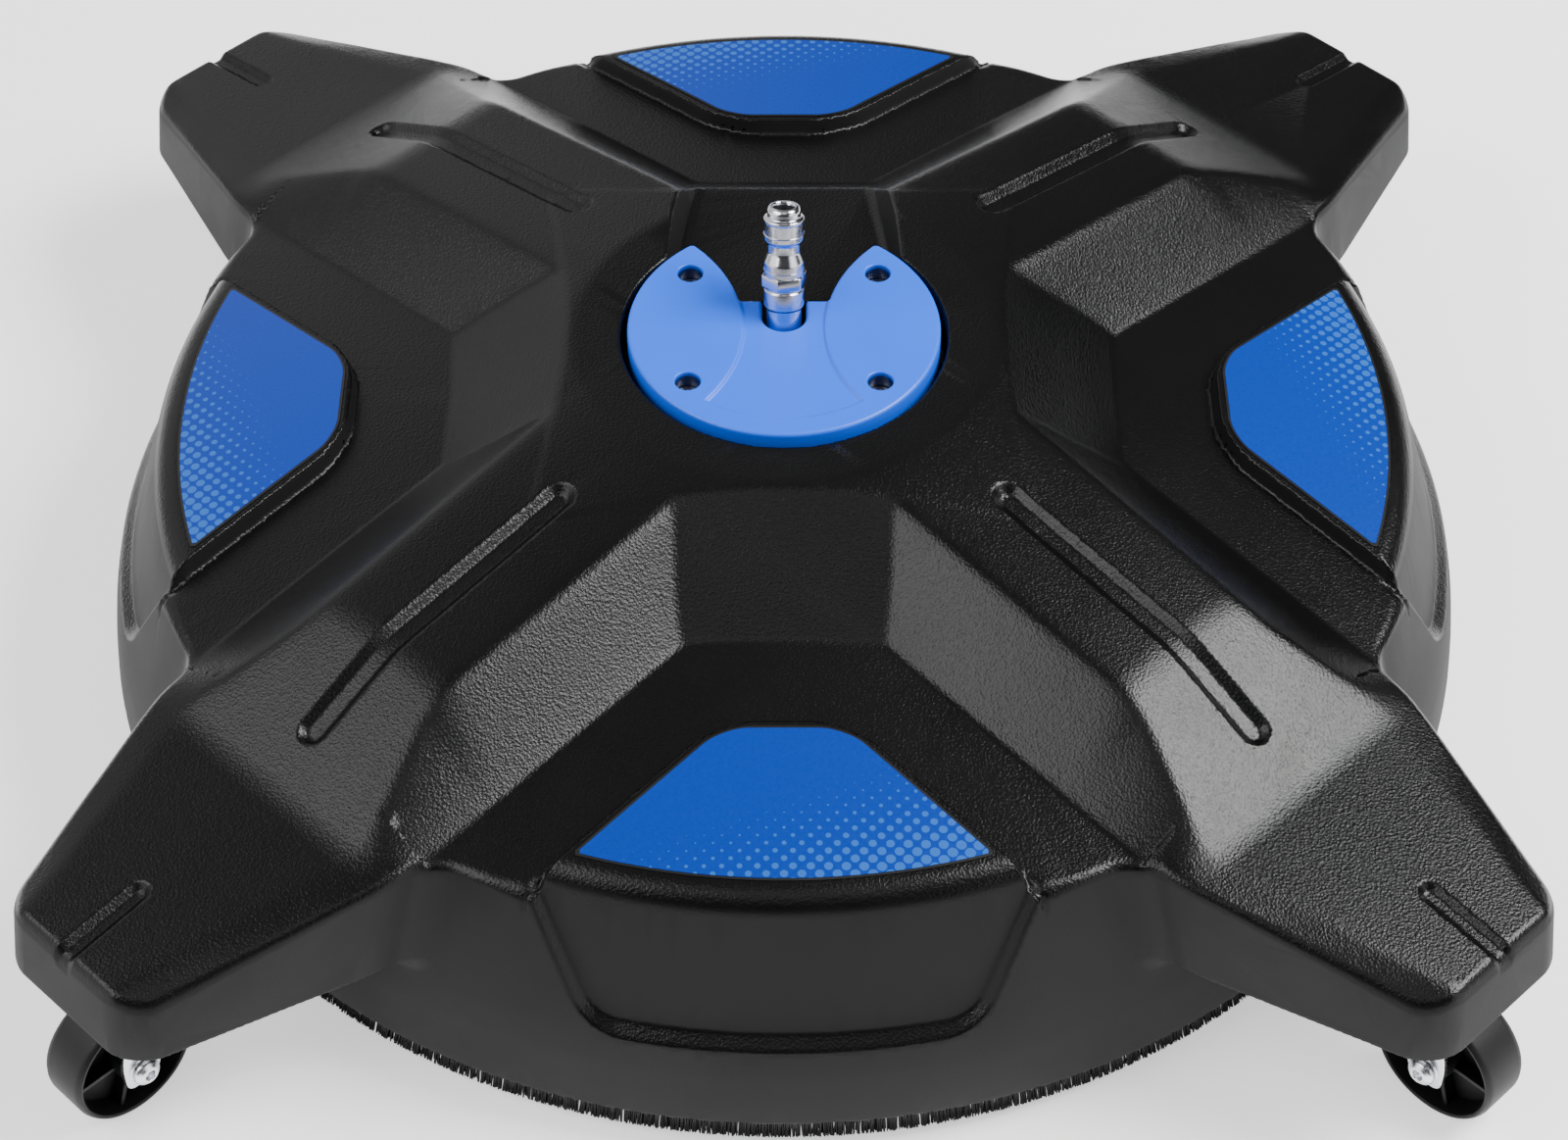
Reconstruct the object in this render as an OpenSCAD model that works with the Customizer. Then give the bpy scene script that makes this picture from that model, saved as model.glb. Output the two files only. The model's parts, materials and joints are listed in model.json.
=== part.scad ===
// Pressure-washer surface cleaner on four swivel casters.
// Millimetres. +Z is up, +X is right, -Y is the front. The floor is z = 0 and the spin axis is x = y = 0.

/* [Shell] */
// Outer radius of the round wall at its lower edge
wall_r = 209; // [207:0.5:211]
// Height of the wall's lower edge above the floor
wall_low_z = 13; // [11:0.5:16]
// Radius of the rim where the deck turns down into the wall
rim_r = 194.3; // [193:0.1:196]
// Height of that rim
rim_z = 80.3; // [79:0.1:82]
// Fall of the deck per millimetre of radius
deck_slope = 0.144; // [0.12:0.002:0.16]
// Thickness of the moulded shell
shell_t = 3.2; // [2.8:0.1:3.6]

/* [Hub] */
// Height of the flat ring around the blue cover
hub_z = 120.6; // [119:0.1:122]
// Distance from the axis to the top edge of each hub panel
panel_top = 66.3; // [64:0.1:69]
// Distance from the axis to the foot of each hub panel
panel_foot = 101; // [98:0.5:104]
// Half width of a hub panel
panel_half = 28.5; // [27:0.1:30]
// Radius of the round recess that holds the cover
recess_r = 48.6; // [48:0.1:50]
// Height of the recess floor and of the lance channel
recess_z = 109; // [108:0.1:110]

/* [Arms] */
// Half width of an arm's flat top beside the hub
arm_top_half = 25.5; // [24:0.1:27]
// Half width of an arm at its foot
arm_foot_half = 51.5; // [50:0.1:53]
// Distance along the arm to the top of its ramp
ramp_top_s = 157; // [155:0.5:159]
// Distance along the arm to the foot of its ramp
ramp_foot_s = 204; // [202:0.5:206]
// Distance along the arm to its tip
tip_s = 276; // [274:0.5:278]
// Height of an arm's underside
arm_low_z = 48; // [47.6:0.1:48]

/* [Pads and labels] */
// Height of a label pad above the deck
pad_rise = 5.4; // [4.5:0.1:6]
// Radius of a label's outer edge
label_r = 182.5; // [181:0.5:183]
// Distance from the axis to a label's straight inner edge
label_inner = 133; // [131:0.5:135]
// Half width of that inner edge
label_half = 17.5; // [16:0.5:19]
// Thickness of a label
label_t = 0.4; // [0.3:0.05:0.5]
// Depth of the shield-shaped panel in the wall
shield_depth = 3.3; // [2.5:0.1:3.5]

/* [Cover] */
// Radius of the blue hub cover
cover_r = 46.5; // [45.5:0.1:47]
// Height of the cover's top face
cover_z = 123.2; // [122:0.1:124]
// Half width of the slot that the inlet moves in
slot_half = 6.6; // [6.4:0.1:7]

/* [Inlet] */
// Lean of the inlet to the rear, measured from upright
inlet_lean = 18; // [17:1:19]
// Height of the inlet's tilt axis
pivot_z = 105; // [104.5:0.1:105.5]
// Distance of that axis behind the spin axis
pivot_y = 0.6; // [0.5:0.1:0.8]
// Radius of the plug's nose
nose_r = 5.95; // [5.9:0.01:6]

/* [Spray bar] */
// Distance from the axis to each nozzle
nozzle_s = 176; // [165:1:177]
// Height of the spray bar's axis
bar_z = 36; // [35:0.5:37]
// Radius of a spray tube
tube_r = 6.85; // [6.5:0.05:7]

/* [Brush skirt] */
// Height of the bristle tips above the floor
bristle_low_z = 4.5; // [3:0.5:7]
// How far the bristles splay outward at their tips
bristle_splay = 4.9; // [0:0.1:5.2]
// Number of screws that hold the brush
skirt_screw_count = 8; // [4:4:8]

/* [Casters] */
// Radius of a wheel
wheel_r = 20; // [19:0.5:20]
// Width of a wheel
wheel_w = 16; // [14:0.5:16]
// Distance along the arm to a caster's swivel axis
swivel_s = 247; // [246:0.5:248]
// Offset of the wheel's axle from the swivel axis
trail = 17; // [15:0.5:17]

/* [Hidden] */
$fn = 64;
// Small gap between parts that touch but don't press
gap = 0.1;
// Cuts run past the faces they open by this much
over = 1;
// Directions of the arms and of the flat sectors between them
FRONT_RIGHT = -45;
REAR_RIGHT = 45;
REAR_LEFT = 135;
FRONT_LEFT = -135;
ARMS = [FRONT_RIGHT, REAR_RIGHT, REAR_LEFT, FRONT_LEFT];
SECTORS = [-90, 0, 90, 180];
// The wall bulges a little: its radius is known at two more heights
wall_mid_z = 33;
wall_mid_r = wall_r - 1.8;
// Radius of the centre of the deck's hidden inner cone
deck_inner_r = 40;
// Radii of the central well that holds the inlet block, and height of its floor plate
well_r = 28;
well_floor_z = 91;
well_plate_t = 4;
// Swivel joint, from its flange down
flange_top_z = well_floor_z - well_plate_t;
flange_t = 7;
flange_r = 28;
swivel_r = 18;
swivel_low_z = 46;
bolt_ring_r = 22.5;
// Ball bearings of the rotor
race_outer_r = 13.98;
race_inner_r = 6.02;
race_w = 8;
ball_ring_r = 10;
bearing_ball_r = 2.38;
bearing_ball_count = 8;
upper_bearing_z = 66;
lower_bearing_z = 51;
shaft_r = 6;
water_bore_r = 2.5;
// Inlet block, barrel and plug, in steps along the plug's own axis
barrel_r = 9;
barrel_half = 13;
block_half_x = 17;
block_half_y = 15;
block_top_z = 116;
stem_r = 5.65;
hex_from = 26.4;
hex_to = 32.1;
hex_r = 7.2;
body_to = 37.3;
groove_from = 40.2;
groove_to = 43.4;
groove_r = 4.7;
nose_to = 50.6;
tip_to = 54.4;
tip_r = 4.9;
// Screws of the cover
cover_screw_x = 28.15;
cover_screw_y = 23.7;
// Brush carrier
brush_r = 202.9;
brush_flange_r = 193.5;
brush_flange_z = 37.3;
skirt_screw_r = 196.8;
// Casters, from the plate down
plate_t = 1.8;
race_pitch_r = 11;
caster_ball_r = 1.5;
caster_ball_count = 12;
caster_ball_z = 44.3;
crown_z = 40.6;
crown_t = 1.8;
kingpin_r = 3.9;
leg_half = wheel_w / 2 + 1.1;
leg_t = 1.8;
axle_r = 2.95;
plate_hole_s = 14;
plate_hole_t = 12;

BLACK = [0.06, 0.06, 0.065];
BLUE = [0.33, 0.53, 0.96];
LABEL_BLUE = [0.02, 0.22, 0.60];
STEEL = [0.80, 0.81, 0.83];
ZINC = [0.74, 0.75, 0.78];
BRASS = [0.78, 0.62, 0.30];

function deck_z(r) = rim_z + deck_slope * (rim_r - r);

// ---------- Shared shapes ----------

// A solid that joins sections of six points each, given from one end to the other
module loft(sections) {
    n = len(sections[0]);
    last = len(sections) - 1;
    points = [for (section = sections) for (p = section) p];
    sides = [for (k = [0 : last - 1]) for (i = [0 : n - 1])
        let (a = k * n + i, b = k * n + (i + 1) % n, c = a + n, d = b + n)
        each [[a, b, d], [a, d, c]]];
    first_cap = [for (i = [1 : n - 2]) [0, i + 1, i]];
    last_cap = [for (i = [1 : n - 2]) [last * n, last * n + i, last * n + i + 1]];
    polyhedron(points = points, faces = concat(sides, first_cap, last_cap));
}

// Six points across an arm at distance s: underside, shoulder and flat top
function arm_section(s, low, foot, foot_z, top, top_z) = [
    [s[0], -foot, low], [s[1], -foot, foot_z], [s[2], -top, top_z],
    [s[2], top, top_z], [s[1], foot, foot_z], [s[0], foot, low]
];

// One arm, drawn along +X and shrunk by t on every side
module arm(t) {
    near = [deck_inner_r, deck_inner_r, deck_inner_r];
    hub_edge = [68, 68, 68];
    ramp_top = [ramp_top_s, ramp_top_s, ramp_top_s];
    ramp_foot = [ramp_foot_s, ramp_foot_s, ramp_foot_s];
    tip_corner = [tip_s - 2.8, tip_s - 3.6, tip_s - 4.6];
    tip_end = [tip_s + 2.3 - t, tip_s + 0.8 - t, tip_s - t];
    low = arm_low_z + t;
    foot = arm_foot_half - t;
    loft([
        arm_section(near, low, foot, 92 - t, arm_top_half + 0.5 - t / 2, 118.9 - t),
        arm_section(hub_edge, low, foot, 92 - t, arm_top_half + 0.5 - t / 2, 118.8 - t),
        arm_section(ramp_top, low, foot - 0.5, 84 - t, arm_top_half - 1 - t / 2, 105 - t),
        arm_section(ramp_foot, low, foot, 80.6 - t, arm_top_half + 12 - t / 2, 81.8 - t),
        arm_section(tip_corner - [t, t, t] / 2, low, 28.4 - t, 68.8 - t, 21.4 - t / 2, 71.9 - t),
        arm_section(tip_end, low, 23.6 - t, 68.2 - t, 19 - t / 2, 71.3 - t)
    ]);
}

module ring(outer, inner, low, high) {
    difference() {
        translate([0, 0, low]) cylinder(r = outer, h = high - low);
        translate([0, 0, low - over]) cylinder(r = inner, h = high - low + 2 * over);
    }
}

module rod(radius, low, high) {
    translate([0, 0, low]) cylinder(r = radius, h = high - low);
}

module at_arm(direction) {
    rotate([0, 0, direction]) children();
}

// Places of the four bolts that hold the swivel joint's flange
module at_bolts() {
    for (a = SECTORS) rotate([0, 0, a]) translate([bolt_ring_r, 0, 0]) children();
}

// Places of the four cover screws
module at_cover_screws() {
    for (x = [-1, 1]) {
        for (y = [-1, 1]) translate([x * cover_screw_x, y * cover_screw_y, 0]) children();
    }
}

// Places of the screws that hold the brush
module at_skirt_screws() {
    for (k = [0 : skirt_screw_count - 1]) {
        rotate([0, 0, (k + 0.5) * 360 / skirt_screw_count]) translate([skirt_screw_r, 0, 0]) children();
    }
}

// Places of the four screws of one caster's plate
module at_plate_screws() {
    for (s = [-1, 1]) {
        for (t = [-1, 1]) translate([s * plate_hole_s, t * plate_hole_t, 0]) children();
    }
}

// ---------- Housing ----------

// Round body under the arms: deck cone and bulging wall, shrunk by t
module round_body(t) {
    low = t == 0 ? wall_low_z : wall_low_z - over;
    rotate_extrude($fn = 180) polygon([
        [0, low], [wall_r - t, low], [wall_r - t, wall_low_z], [wall_mid_r - t, wall_mid_z],
        [rim_r - t * 0.9, rim_z - t], [deck_inner_r, deck_z(deck_inner_r) - t], [0, deck_z(deck_inner_r) - t]
    ]);
}

// Eight-sided hub with four sloping panels
module hub_block(t) {
    far_top = panel_top - t * 0.9;
    far_foot = panel_foot - t * 0.9;
    top_z = 119.3 - t;
    foot_z = 92.8 - t;
    low_z = 86;
    half_top = panel_half - t * 0.4;
    half_foot = panel_half - 1 - t * 0.4;
    function eight(a, b, z) = [
        [a, -b, z], [a, b, z], [b, a, z], [-b, a, z], [-a, b, z], [-a, -b, z], [-b, -a, z], [b, -a, z]
    ];
    loft([
        eight(far_top, half_top, top_z),
        eight(far_foot, half_foot, foot_z),
        eight(far_foot + t * 0.1, half_foot, low_z)
    ]);
}

// Plan of a label pad for the front sector, grown by g; the straight flanks run at 45 degrees
module pad_plan(g, outer_r) {
    flank = label_half + g * 0.4;
    reach = outer_r * 1.1;
    intersection() {
        polygon([
            [-flank, -label_inner + g], [flank, -label_inner + g],
            [flank + reach, -label_inner + g - reach], [-flank - reach, -label_inner + g - reach]
        ]);
        circle(r = outer_r, $fn = 180);
    }
}

// Raised pad of the front sector, shrunk by t
module pad(t) {
    intersection() {
        translate([0, 0, rim_z - 6 - t]) linear_extrude(40) pad_plan(2.8 - t, rim_r - 2.5 - t);
        rotate_extrude($fn = 180) polygon([
            [90, 70], [rim_r, 70], [rim_r, deck_z(rim_r) + pad_rise - t], [90, deck_z(90) + pad_rise - t]
        ]);
    }
}

// Ring of the front wall between two depths under its surface, from one height to another
module wall_band(outer_in, inner_in, low, high) {
    panel_r = wall_r - 5;
    lean = 1.8;
    rotate([0, 0, -120]) rotate_extrude(angle = 60, $fn = 180) polygon([
        [panel_r - inner_in, low], [panel_r + 1.6 - outer_in, low],
        [rim_r - outer_in, rim_z], [rim_r - outer_in - lean, high],
        [rim_r - inner_in - lean, high], [rim_r - inner_in, rim_z]
    ]);
}

// Front view of the shield panel, grown by g: narrow at its foot and wide at the rim
module shield_view(g) {
    rotate([90, 0, 0]) translate([0, 0, 150]) linear_extrude(80) polygon([
        [-51 - g, 41.7 - g], [51 + g, 41.7 - g], [57.5 + g, 50], [66.2 + g, rim_z - 1.1],
        [68 + g, 90], [-68 - g, 90], [-66.2 - g, rim_z - 1.1], [-57.5 - g, 50]
    ]);
}

module lance_channel(t) {
    low = recess_z - t;
    function four(y, half_low, half_top) = [
        [half_low + t, y, low], [half_top + t, y, 126], [-half_top - t, y, 126], [-half_low - t, y, low]
    ];
    loft([four(20, 32.5, 38.5), four(panel_foot, 25.8, 34)]);
}

// Round-ended slot between two points of the arm's centre line, each given as distance and height
module groove_slot(from, to, half_w) {
    run = to - from;
    length = norm(run);
    translate([from[0], 0, from[1]]) rotate([0, atan2(-run[1], run[0]), 0]) linear_extrude(8) union() {
        translate([0, -half_w]) square([length, 2 * half_w]);
        circle(r = half_w);
        translate([length, 0]) circle(r = half_w);
    }
}

// Long groove on the ramp and short groove on the tip
module arm_grooves() {
    groove_slot([88.7, 113.2], [157, 103.4], 4.2);
    groove_slot([157, 103.4], [183, 90.4], 3.9);
    translate([246, 0, 73.8]) rotate([0, 7.4, 0]) linear_extrude(8) union() {
        translate([0, -3]) square([40, 6]);
        circle(r = 3);
    }
}

module outer_skin() {
    round_body(0);
    hub_block(0);
    translate([0, 0, 119]) cylinder(r1 = 66, r2 = 62.5, h = hub_z - 119);
    for (a = ARMS) at_arm(a) arm(0);
    for (a = SECTORS) rotate([0, 0, a + 90]) pad(0);
}

module inner_skin() {
    round_body(shell_t);
    for (a = SECTORS) rotate([0, 0, a + 90]) pad(shell_t);
    for (a = ARMS) at_arm(a) arm(shell_t);
    hub_block(shell_t);
}

// Everything that stands inside the shell
module inner_structure() {
    ring(well_r + 3, well_r, flange_top_z, recess_z - 1);
    rod(well_r + 2, flange_top_z, well_floor_z);
    at_cover_screws() rod(5.2, 95, recess_z - 1);
    ring(wall_r - 4.4, brush_flange_r + 0.6, 38, 41);
    at_skirt_screws() rod(3.8, 38, 54);
    for (a = ARMS) at_caster(a) at_plate_screws() rod(4.4, arm_low_z + 1, 61);
    for (a = SECTORS) rotate([0, 0, a + 90]) intersection() {
        wall_band(shield_depth - 1, shield_depth + shell_t, 37.4, 82);
        shield_view(3);
    }
}

module housing_openings() {
    for (a = SECTORS) rotate([0, 0, a + 90]) intersection() {
        wall_band(-5, shield_depth, 41.5, 89);
        shield_view(0);
    }
    for (a = ARMS) at_arm(a) arm_grooves();
    rod(recess_r, recess_z, hub_z + over);
    lance_channel(0);
    rod(well_r, well_floor_z, hub_z);
    rod(8.4, flange_top_z - over, well_floor_z + over);
    at_bolts() rod(2.7, flange_top_z - over, well_floor_z + over);
    at_cover_screws() rod(1.85, 94, recess_z + over);
    at_skirt_screws() rod(1.85, 37, 52);
    for (a = ARMS) at_caster(a) {
        rod(7, arm_low_z - over, arm_low_z + shell_t + over);
        at_plate_screws() rod(1.85, arm_low_z - over, 59);
    }
}

module deck_housing() {
    color(BLACK) difference() {
        union() {
            difference() {
                outer_skin();
                difference() {
                    inner_skin();
                    lance_channel(shell_t);
                    rod(recess_r + shell_t, recess_z - shell_t, hub_z);
                }
            }
            inner_structure();
        }
        housing_openings();
    }
}

// ---------- Blue cover ----------

// Region behind the cover's rear edge, between the two ears
module ear_gap(rear) {
    difference() {
        translate([-40, rear]) square([80, 60]);
        for (side = [-1, 1]) translate([side * 64.2, 0]) circle(r = 52.2, $fn = 180);
    }
}

module cover_plan() {
    difference() {
        circle(r = cover_r, $fn = 180);
        ear_gap(12.5);
        translate([-slot_half, 5.7]) square([2 * slot_half, 20]);
        translate([0, 5.7]) circle(r = slot_half);
    }
}

module hub_cover() {
    screw_hole_r = 3.8;
    color(BLUE) difference() {
        union() {
            translate([0, 0, cover_z - 3.4]) linear_extrude(3.4) cover_plan();
            translate([0, 0, recess_z + gap]) linear_extrude(cover_z - 3 - recess_z) difference() {
                cover_plan();
                circle(r = cover_r - 2.8, $fn = 180);
            }
            at_cover_screws() rod(5.6, recess_z + gap, cover_z - 1);
        }
        translate([0, 0, cover_z - 0.6]) linear_extrude(2) difference() {
            circle(r = 39.2, $fn = 180);
            for (side = [-1, 1]) translate([side * 64.2, 0]) circle(r = 52.2, $fn = 180);
        }
        at_cover_screws() {
            rod(screw_hole_r, cover_z - 8, cover_z + over);
            rod(2.2, recess_z - over, cover_z);
        }
    }
}

// Pan-head screw: head between two heights, shank below it, and a cross recess
module pan_screw(head_r, shank_r, tip, head_low, head_high) {
    difference() {
        union() {
            rod(shank_r, tip, head_low + 0.01);
            rod(head_r, head_low, head_high);
        }
        for (turn = [0, 90]) {
            rotate([0, 0, turn]) translate([-head_r * 0.6, -0.45, head_high - 1.1]) {
                cube([head_r * 1.2, 0.9, 2]);
            }
        }
    }
}

module cover_screws() {
    color(ZINC) at_cover_screws() pan_screw(3.5, 1.8, 97, cover_z - 7.9, cover_z - 5.6);
}

// ---------- Labels ----------

module label(direction) {
    color(LABEL_BLUE) rotate([0, 0, direction + 90]) intersection() {
        translate([0, 0, rim_z - 6]) linear_extrude(40) pad_plan(0, label_r);
        rotate_extrude($fn = 180) polygon([
            [90, deck_z(90) + pad_rise], [rim_r, deck_z(rim_r) + pad_rise],
            [rim_r, deck_z(rim_r) + pad_rise + label_t], [90, deck_z(90) + pad_rise + label_t]
        ]);
    }
}

// ---------- Inlet ----------

// Children drawn along +Z are set on the leaning inlet axis
module on_inlet() {
    translate([0, pivot_y, pivot_z]) rotate([-inlet_lean, 0, 0]) children();
}

// Children drawn along +Z are laid along the tilt axis, starting at x
module on_pivot(x) {
    translate([x, pivot_y, pivot_z]) rotate([0, 90, 0]) children();
}

module inlet_plug() {
    color(STEEL) on_inlet() difference() {
        union() {
            rod(stem_r, barrel_r - 1, hex_from + 0.5);
            translate([0, 0, hex_from]) rotate([0, 0, 15]) {
                cylinder(r = hex_r, h = hex_to - hex_from, $fn = 6);
            }
            rod(nose_r, hex_to - 0.5, body_to);
            translate([0, 0, body_to]) cylinder(r1 = nose_r, r2 = groove_r, h = groove_from - body_to);
            rod(groove_r, groove_from - 0.1, groove_to + 0.1);
            rod(nose_r, groove_to, nose_to);
            rod(tip_r, nose_to - 0.1, tip_to);
        }
        rod(water_bore_r + 0.5, barrel_r - 2, tip_to + over);
    }
}

module inlet_barrel() {
    color(BRASS) difference() {
        on_pivot(-barrel_half) rod(barrel_r, 0, 2 * barrel_half);
        on_inlet() rod(stem_r + 0.02, barrel_r - 1, barrel_r + 3);
        on_inlet() rod(water_bore_r, -1, barrel_r);
        for (x = [-10, 10]) on_pivot(x) ring(barrel_r + 1, barrel_r - 1.8, -1.3, 1.3);
        on_pivot(0) ring(barrel_r + 1, barrel_r - 1.6, -1.6, 1.6);
    }
}

module pivot_orings() {
    color(BLACK) for (x = [-10, 10]) on_pivot(x) rotate_extrude() {
        translate([barrel_r - 0.9, 0]) circle(r = 0.85, $fn = 24);
    }
}

// Block that holds the barrel; its slot lets the plug swing to the rear
module pivot_block() {
    bore = barrel_r + 0.05;
    color(BRASS) difference() {
        union() {
            translate([-block_half_x, -block_half_y, well_floor_z + gap]) {
                cube([2 * block_half_x, 2 * block_half_y, block_top_z - well_floor_z - gap]);
            }
            rod(7.4, 81, well_floor_z + over);
        }
        on_pivot(-block_half_x - over) rod(bore, 0, 2 * (block_half_x + over));
        translate([-slot_half, -block_half_y + 8, pivot_z - 5]) cube([2 * slot_half, 2 * block_half_y, 30]);
        translate([-slot_half, -9.5, pivot_z]) cube([2 * slot_half, 20, 30]);
        for (x = [-1, 1]) {
            translate([x * block_half_x * 1.35, -block_half_y, block_top_z]) rotate([0, x * 35, 0]) {
                translate([-6, -over, -3]) cube([12, 2 * block_half_y + 2 * over, 12]);
            }
        }
        rod(water_bore_r, 80, pivot_z);
    }
}

module pivot_caps() {
    color(BRASS) for (side = [-1, 1]) {
        translate([side * (barrel_half + 2 * gap), pivot_y, pivot_z]) rotate([0, side * 90, 0]) difference() {
            union() {
                rod(barrel_r, 0, block_half_x - barrel_half);
                rod(barrel_r + 1.6, block_half_x - barrel_half - gap, block_half_x - barrel_half + 1.4);
            }
            translate([0, 0, block_half_x - barrel_half]) cylinder(r = 3.2, h = 3, $fn = 6);
        }
    }
}

// ---------- Swivel joint ----------

module swivel_housing() {
    color(BRASS) difference() {
        union() {
            rod(flange_r, flange_top_z - flange_t, flange_top_z - gap);
            rod(swivel_r, swivel_low_z, flange_top_z - 1);
            translate([0, 0, flange_top_z - flange_t - 4]) {
                cylinder(r1 = swivel_r, r2 = swivel_r + 4, h = 4.01);
            }
        }
        rod(14, swivel_low_z - over, upper_bearing_z + race_w);
        rod(11, upper_bearing_z, flange_top_z - 7);
        rod(7.5, flange_top_z - 8, flange_top_z + over);
        ring(15, 13, 48.9, 50.5);
        at_bolts() rod(2.4, flange_top_z - flange_t - 4, flange_top_z);
    }
}

module swivel_bolts() {
    color(ZINC) at_bolts() difference() {
        union() {
            rod(2.35, flange_top_z - flange_t - 2, well_floor_z + 0.2);
            rod(4.2, well_floor_z + gap, well_floor_z + 3);
        }
        translate([0, 0, well_floor_z + 1.2]) cylinder(r = 2.3, h = 4, $fn = 6);
    }
}

module pressure_seal() {
    color(BLACK) ring(10.9, shaft_r + 0.05, upper_bearing_z + race_w + 0.3, flange_top_z - 7.4);
}

module outer_race(low) {
    color(STEEL) difference() {
        ring(race_outer_r, ball_ring_r + 1.5, low + gap, low + race_w - gap);
        bearing_groove(low);
    }
}

module inner_race(low) {
    color(STEEL) difference() {
        ring(ball_ring_r - 1.5, race_inner_r, low + gap, low + race_w - gap);
        bearing_groove(low);
    }
}

module bearing_groove(low) {
    translate([0, 0, low + race_w / 2]) rotate_extrude() {
        translate([ball_ring_r, 0]) circle(r = bearing_ball_r + 0.08);
    }
}

module bearing_balls(low) {
    color(ZINC) for (k = [0 : bearing_ball_count - 1]) {
        rotate([0, 0, k * 360 / bearing_ball_count]) translate([ball_ring_r, 0, low + race_w / 2]) {
            sphere(r = bearing_ball_r);
        }
    }
}

module bearing_spacer() {
    color(STEEL) ring(8, race_inner_r, lower_bearing_z + race_w, upper_bearing_z);
}

module retaining_ring() {
    color(ZINC) difference() {
        ring(14.8, 12.4, 49, 50.4);
        translate([-3, 8, 48]) cube([6, 10, 4]);
    }
}

// ---------- Rotor ----------

module rotor_shaft() {
    color(STEEL) difference() {
        union() {
            rod(shaft_r, bar_z - 4, flange_top_z - 7.6);
            rod(8.8, bar_z + 9.2, lower_bearing_z);
        }
        rod(water_bore_r, bar_z - 5, flange_top_z);
    }
}

module spray_hub() {
    hub_half = 15;
    hub_low = bar_z - 11;
    hub_high = bar_z + 9;
    color(STEEL) difference() {
        translate([-hub_half, -hub_half, hub_low]) cube([2 * hub_half, 2 * hub_half, hub_high - hub_low]);
        for (turn = [0 : 90 : 270]) rotate([0, 0, turn + 45]) {
            translate([hub_half * 1.28, -hub_half, hub_low - over]) cube([10, 2 * hub_half, 24]);
        }
        rod(shaft_r + 0.02, bar_z - 4.1, hub_high + over);
        for (side = [-1, 1]) translate([0, 0, bar_z]) rotate([0, side * 90, 0]) {
            rod(tube_r + 0.02, 8, hub_half + over);
        }
        translate([-9, 0, bar_z]) rotate([0, 90, 0]) cylinder(r = water_bore_r, h = 18);
    }
}

module spray_tube(side) {
    color(STEEL) translate([0, 0, bar_z]) rotate([0, side * 90, 0]) {
        ring(tube_r, tube_r - 1.8, 8.2, nozzle_s - 4);
    }
}

module nozzle_holder(side) {
    half = 8.4;
    color(BRASS) translate([side * nozzle_s, 0, bar_z]) difference() {
        union() {
            translate([-half, -half, -half]) cube([2 * half, 2 * half, 2 * half]);
            rotate([0, -side * 90, 0]) rod(half, half - over, half + 7);
            rod(6.6, -half - 4, -half + over);
        }
        rotate([0, -side * 90, 0]) rod(tube_r + 0.02, 3.9, half + 8);
        rod(3.6, -half - 5, 1);
    }
}

module nozzle(side) {
    color(STEEL) translate([side * nozzle_s, 0, bar_z]) difference() {
        union() {
            rod(3.55, -12.6, -4);
            translate([0, 0, -16.4]) cylinder(r = 5.4, h = 3.95, $fn = 6);
            translate([0, 0, -18.2]) cylinder(r1 = 2.6, r2 = 4, h = 1.81);
        }
        rod(0.7, -19, -10);
        rod(1.8, -11, -3);
        translate([-4, -0.45, -18.8]) cube([8, 0.9, 1.4]);
    }
}

// ---------- Brush skirt ----------

module brush_carrier() {
    color(BLACK) difference() {
        union() {
            ring(brush_r - 0.6, brush_flange_r, brush_flange_z - 2.6, brush_flange_z);
            ring(brush_r, brush_r - 3.5, 20, brush_flange_z - 1);
        }
        ring(brush_r - 0.7, brush_r - 2.7, 19, 34);
        at_skirt_screws() rod(2.1, 30, 40);
    }
}

module bristle_skirt() {
    outer = brush_r - 0.8;
    inner = brush_r - 2.6;
    color(BLACK) rotate_extrude($fn = 180) polygon([
        [inner, 33.8], [inner, 19], [inner + bristle_splay, bristle_low_z],
        [outer + bristle_splay, bristle_low_z], [outer, 19], [outer, 33.8]
    ]);
}

module skirt_screws() {
    head_top = brush_flange_z - 2.7;
    color(ZINC) at_skirt_screws() translate([0, 0, head_top]) mirror([0, 0, 1]) {
        pan_screw(2.5, 1.8, -16, 0, 2.2);
    }
}

// ---------- Casters ----------

module at_caster(direction) {
    at_arm(direction) translate([swivel_s, 0, 0]) children();
}

module caster_groove() {
    translate([0, 0, caster_ball_z]) rotate_extrude() {
        translate([race_pitch_r, 0]) circle(r = caster_ball_r + 0.08);
    }
}

module caster_plate(direction) {
    plate_low = arm_low_z - gap - plate_t;
    color(ZINC) at_caster(direction) difference() {
        union() {
            translate([0, 0, plate_low]) linear_extrude(plate_t) difference() {
                square([38, 34], center = true);
                at_plate_screws() circle(r = 2.2);
            }
            rod(14, caster_ball_z + 0.3, plate_low + 0.5);
        }
        rod(race_pitch_r - 3.4, caster_ball_z, plate_low);
        rod(kingpin_r + 0.02, caster_ball_z, arm_low_z);
        caster_groove();
    }
}

module caster_balls(direction) {
    color(ZINC) at_caster(direction) for (k = [0 : caster_ball_count - 1]) {
        rotate([0, 0, k * 360 / caster_ball_count]) translate([race_pitch_r, 0, caster_ball_z]) {
            sphere(r = caster_ball_r);
        }
    }
}

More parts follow.
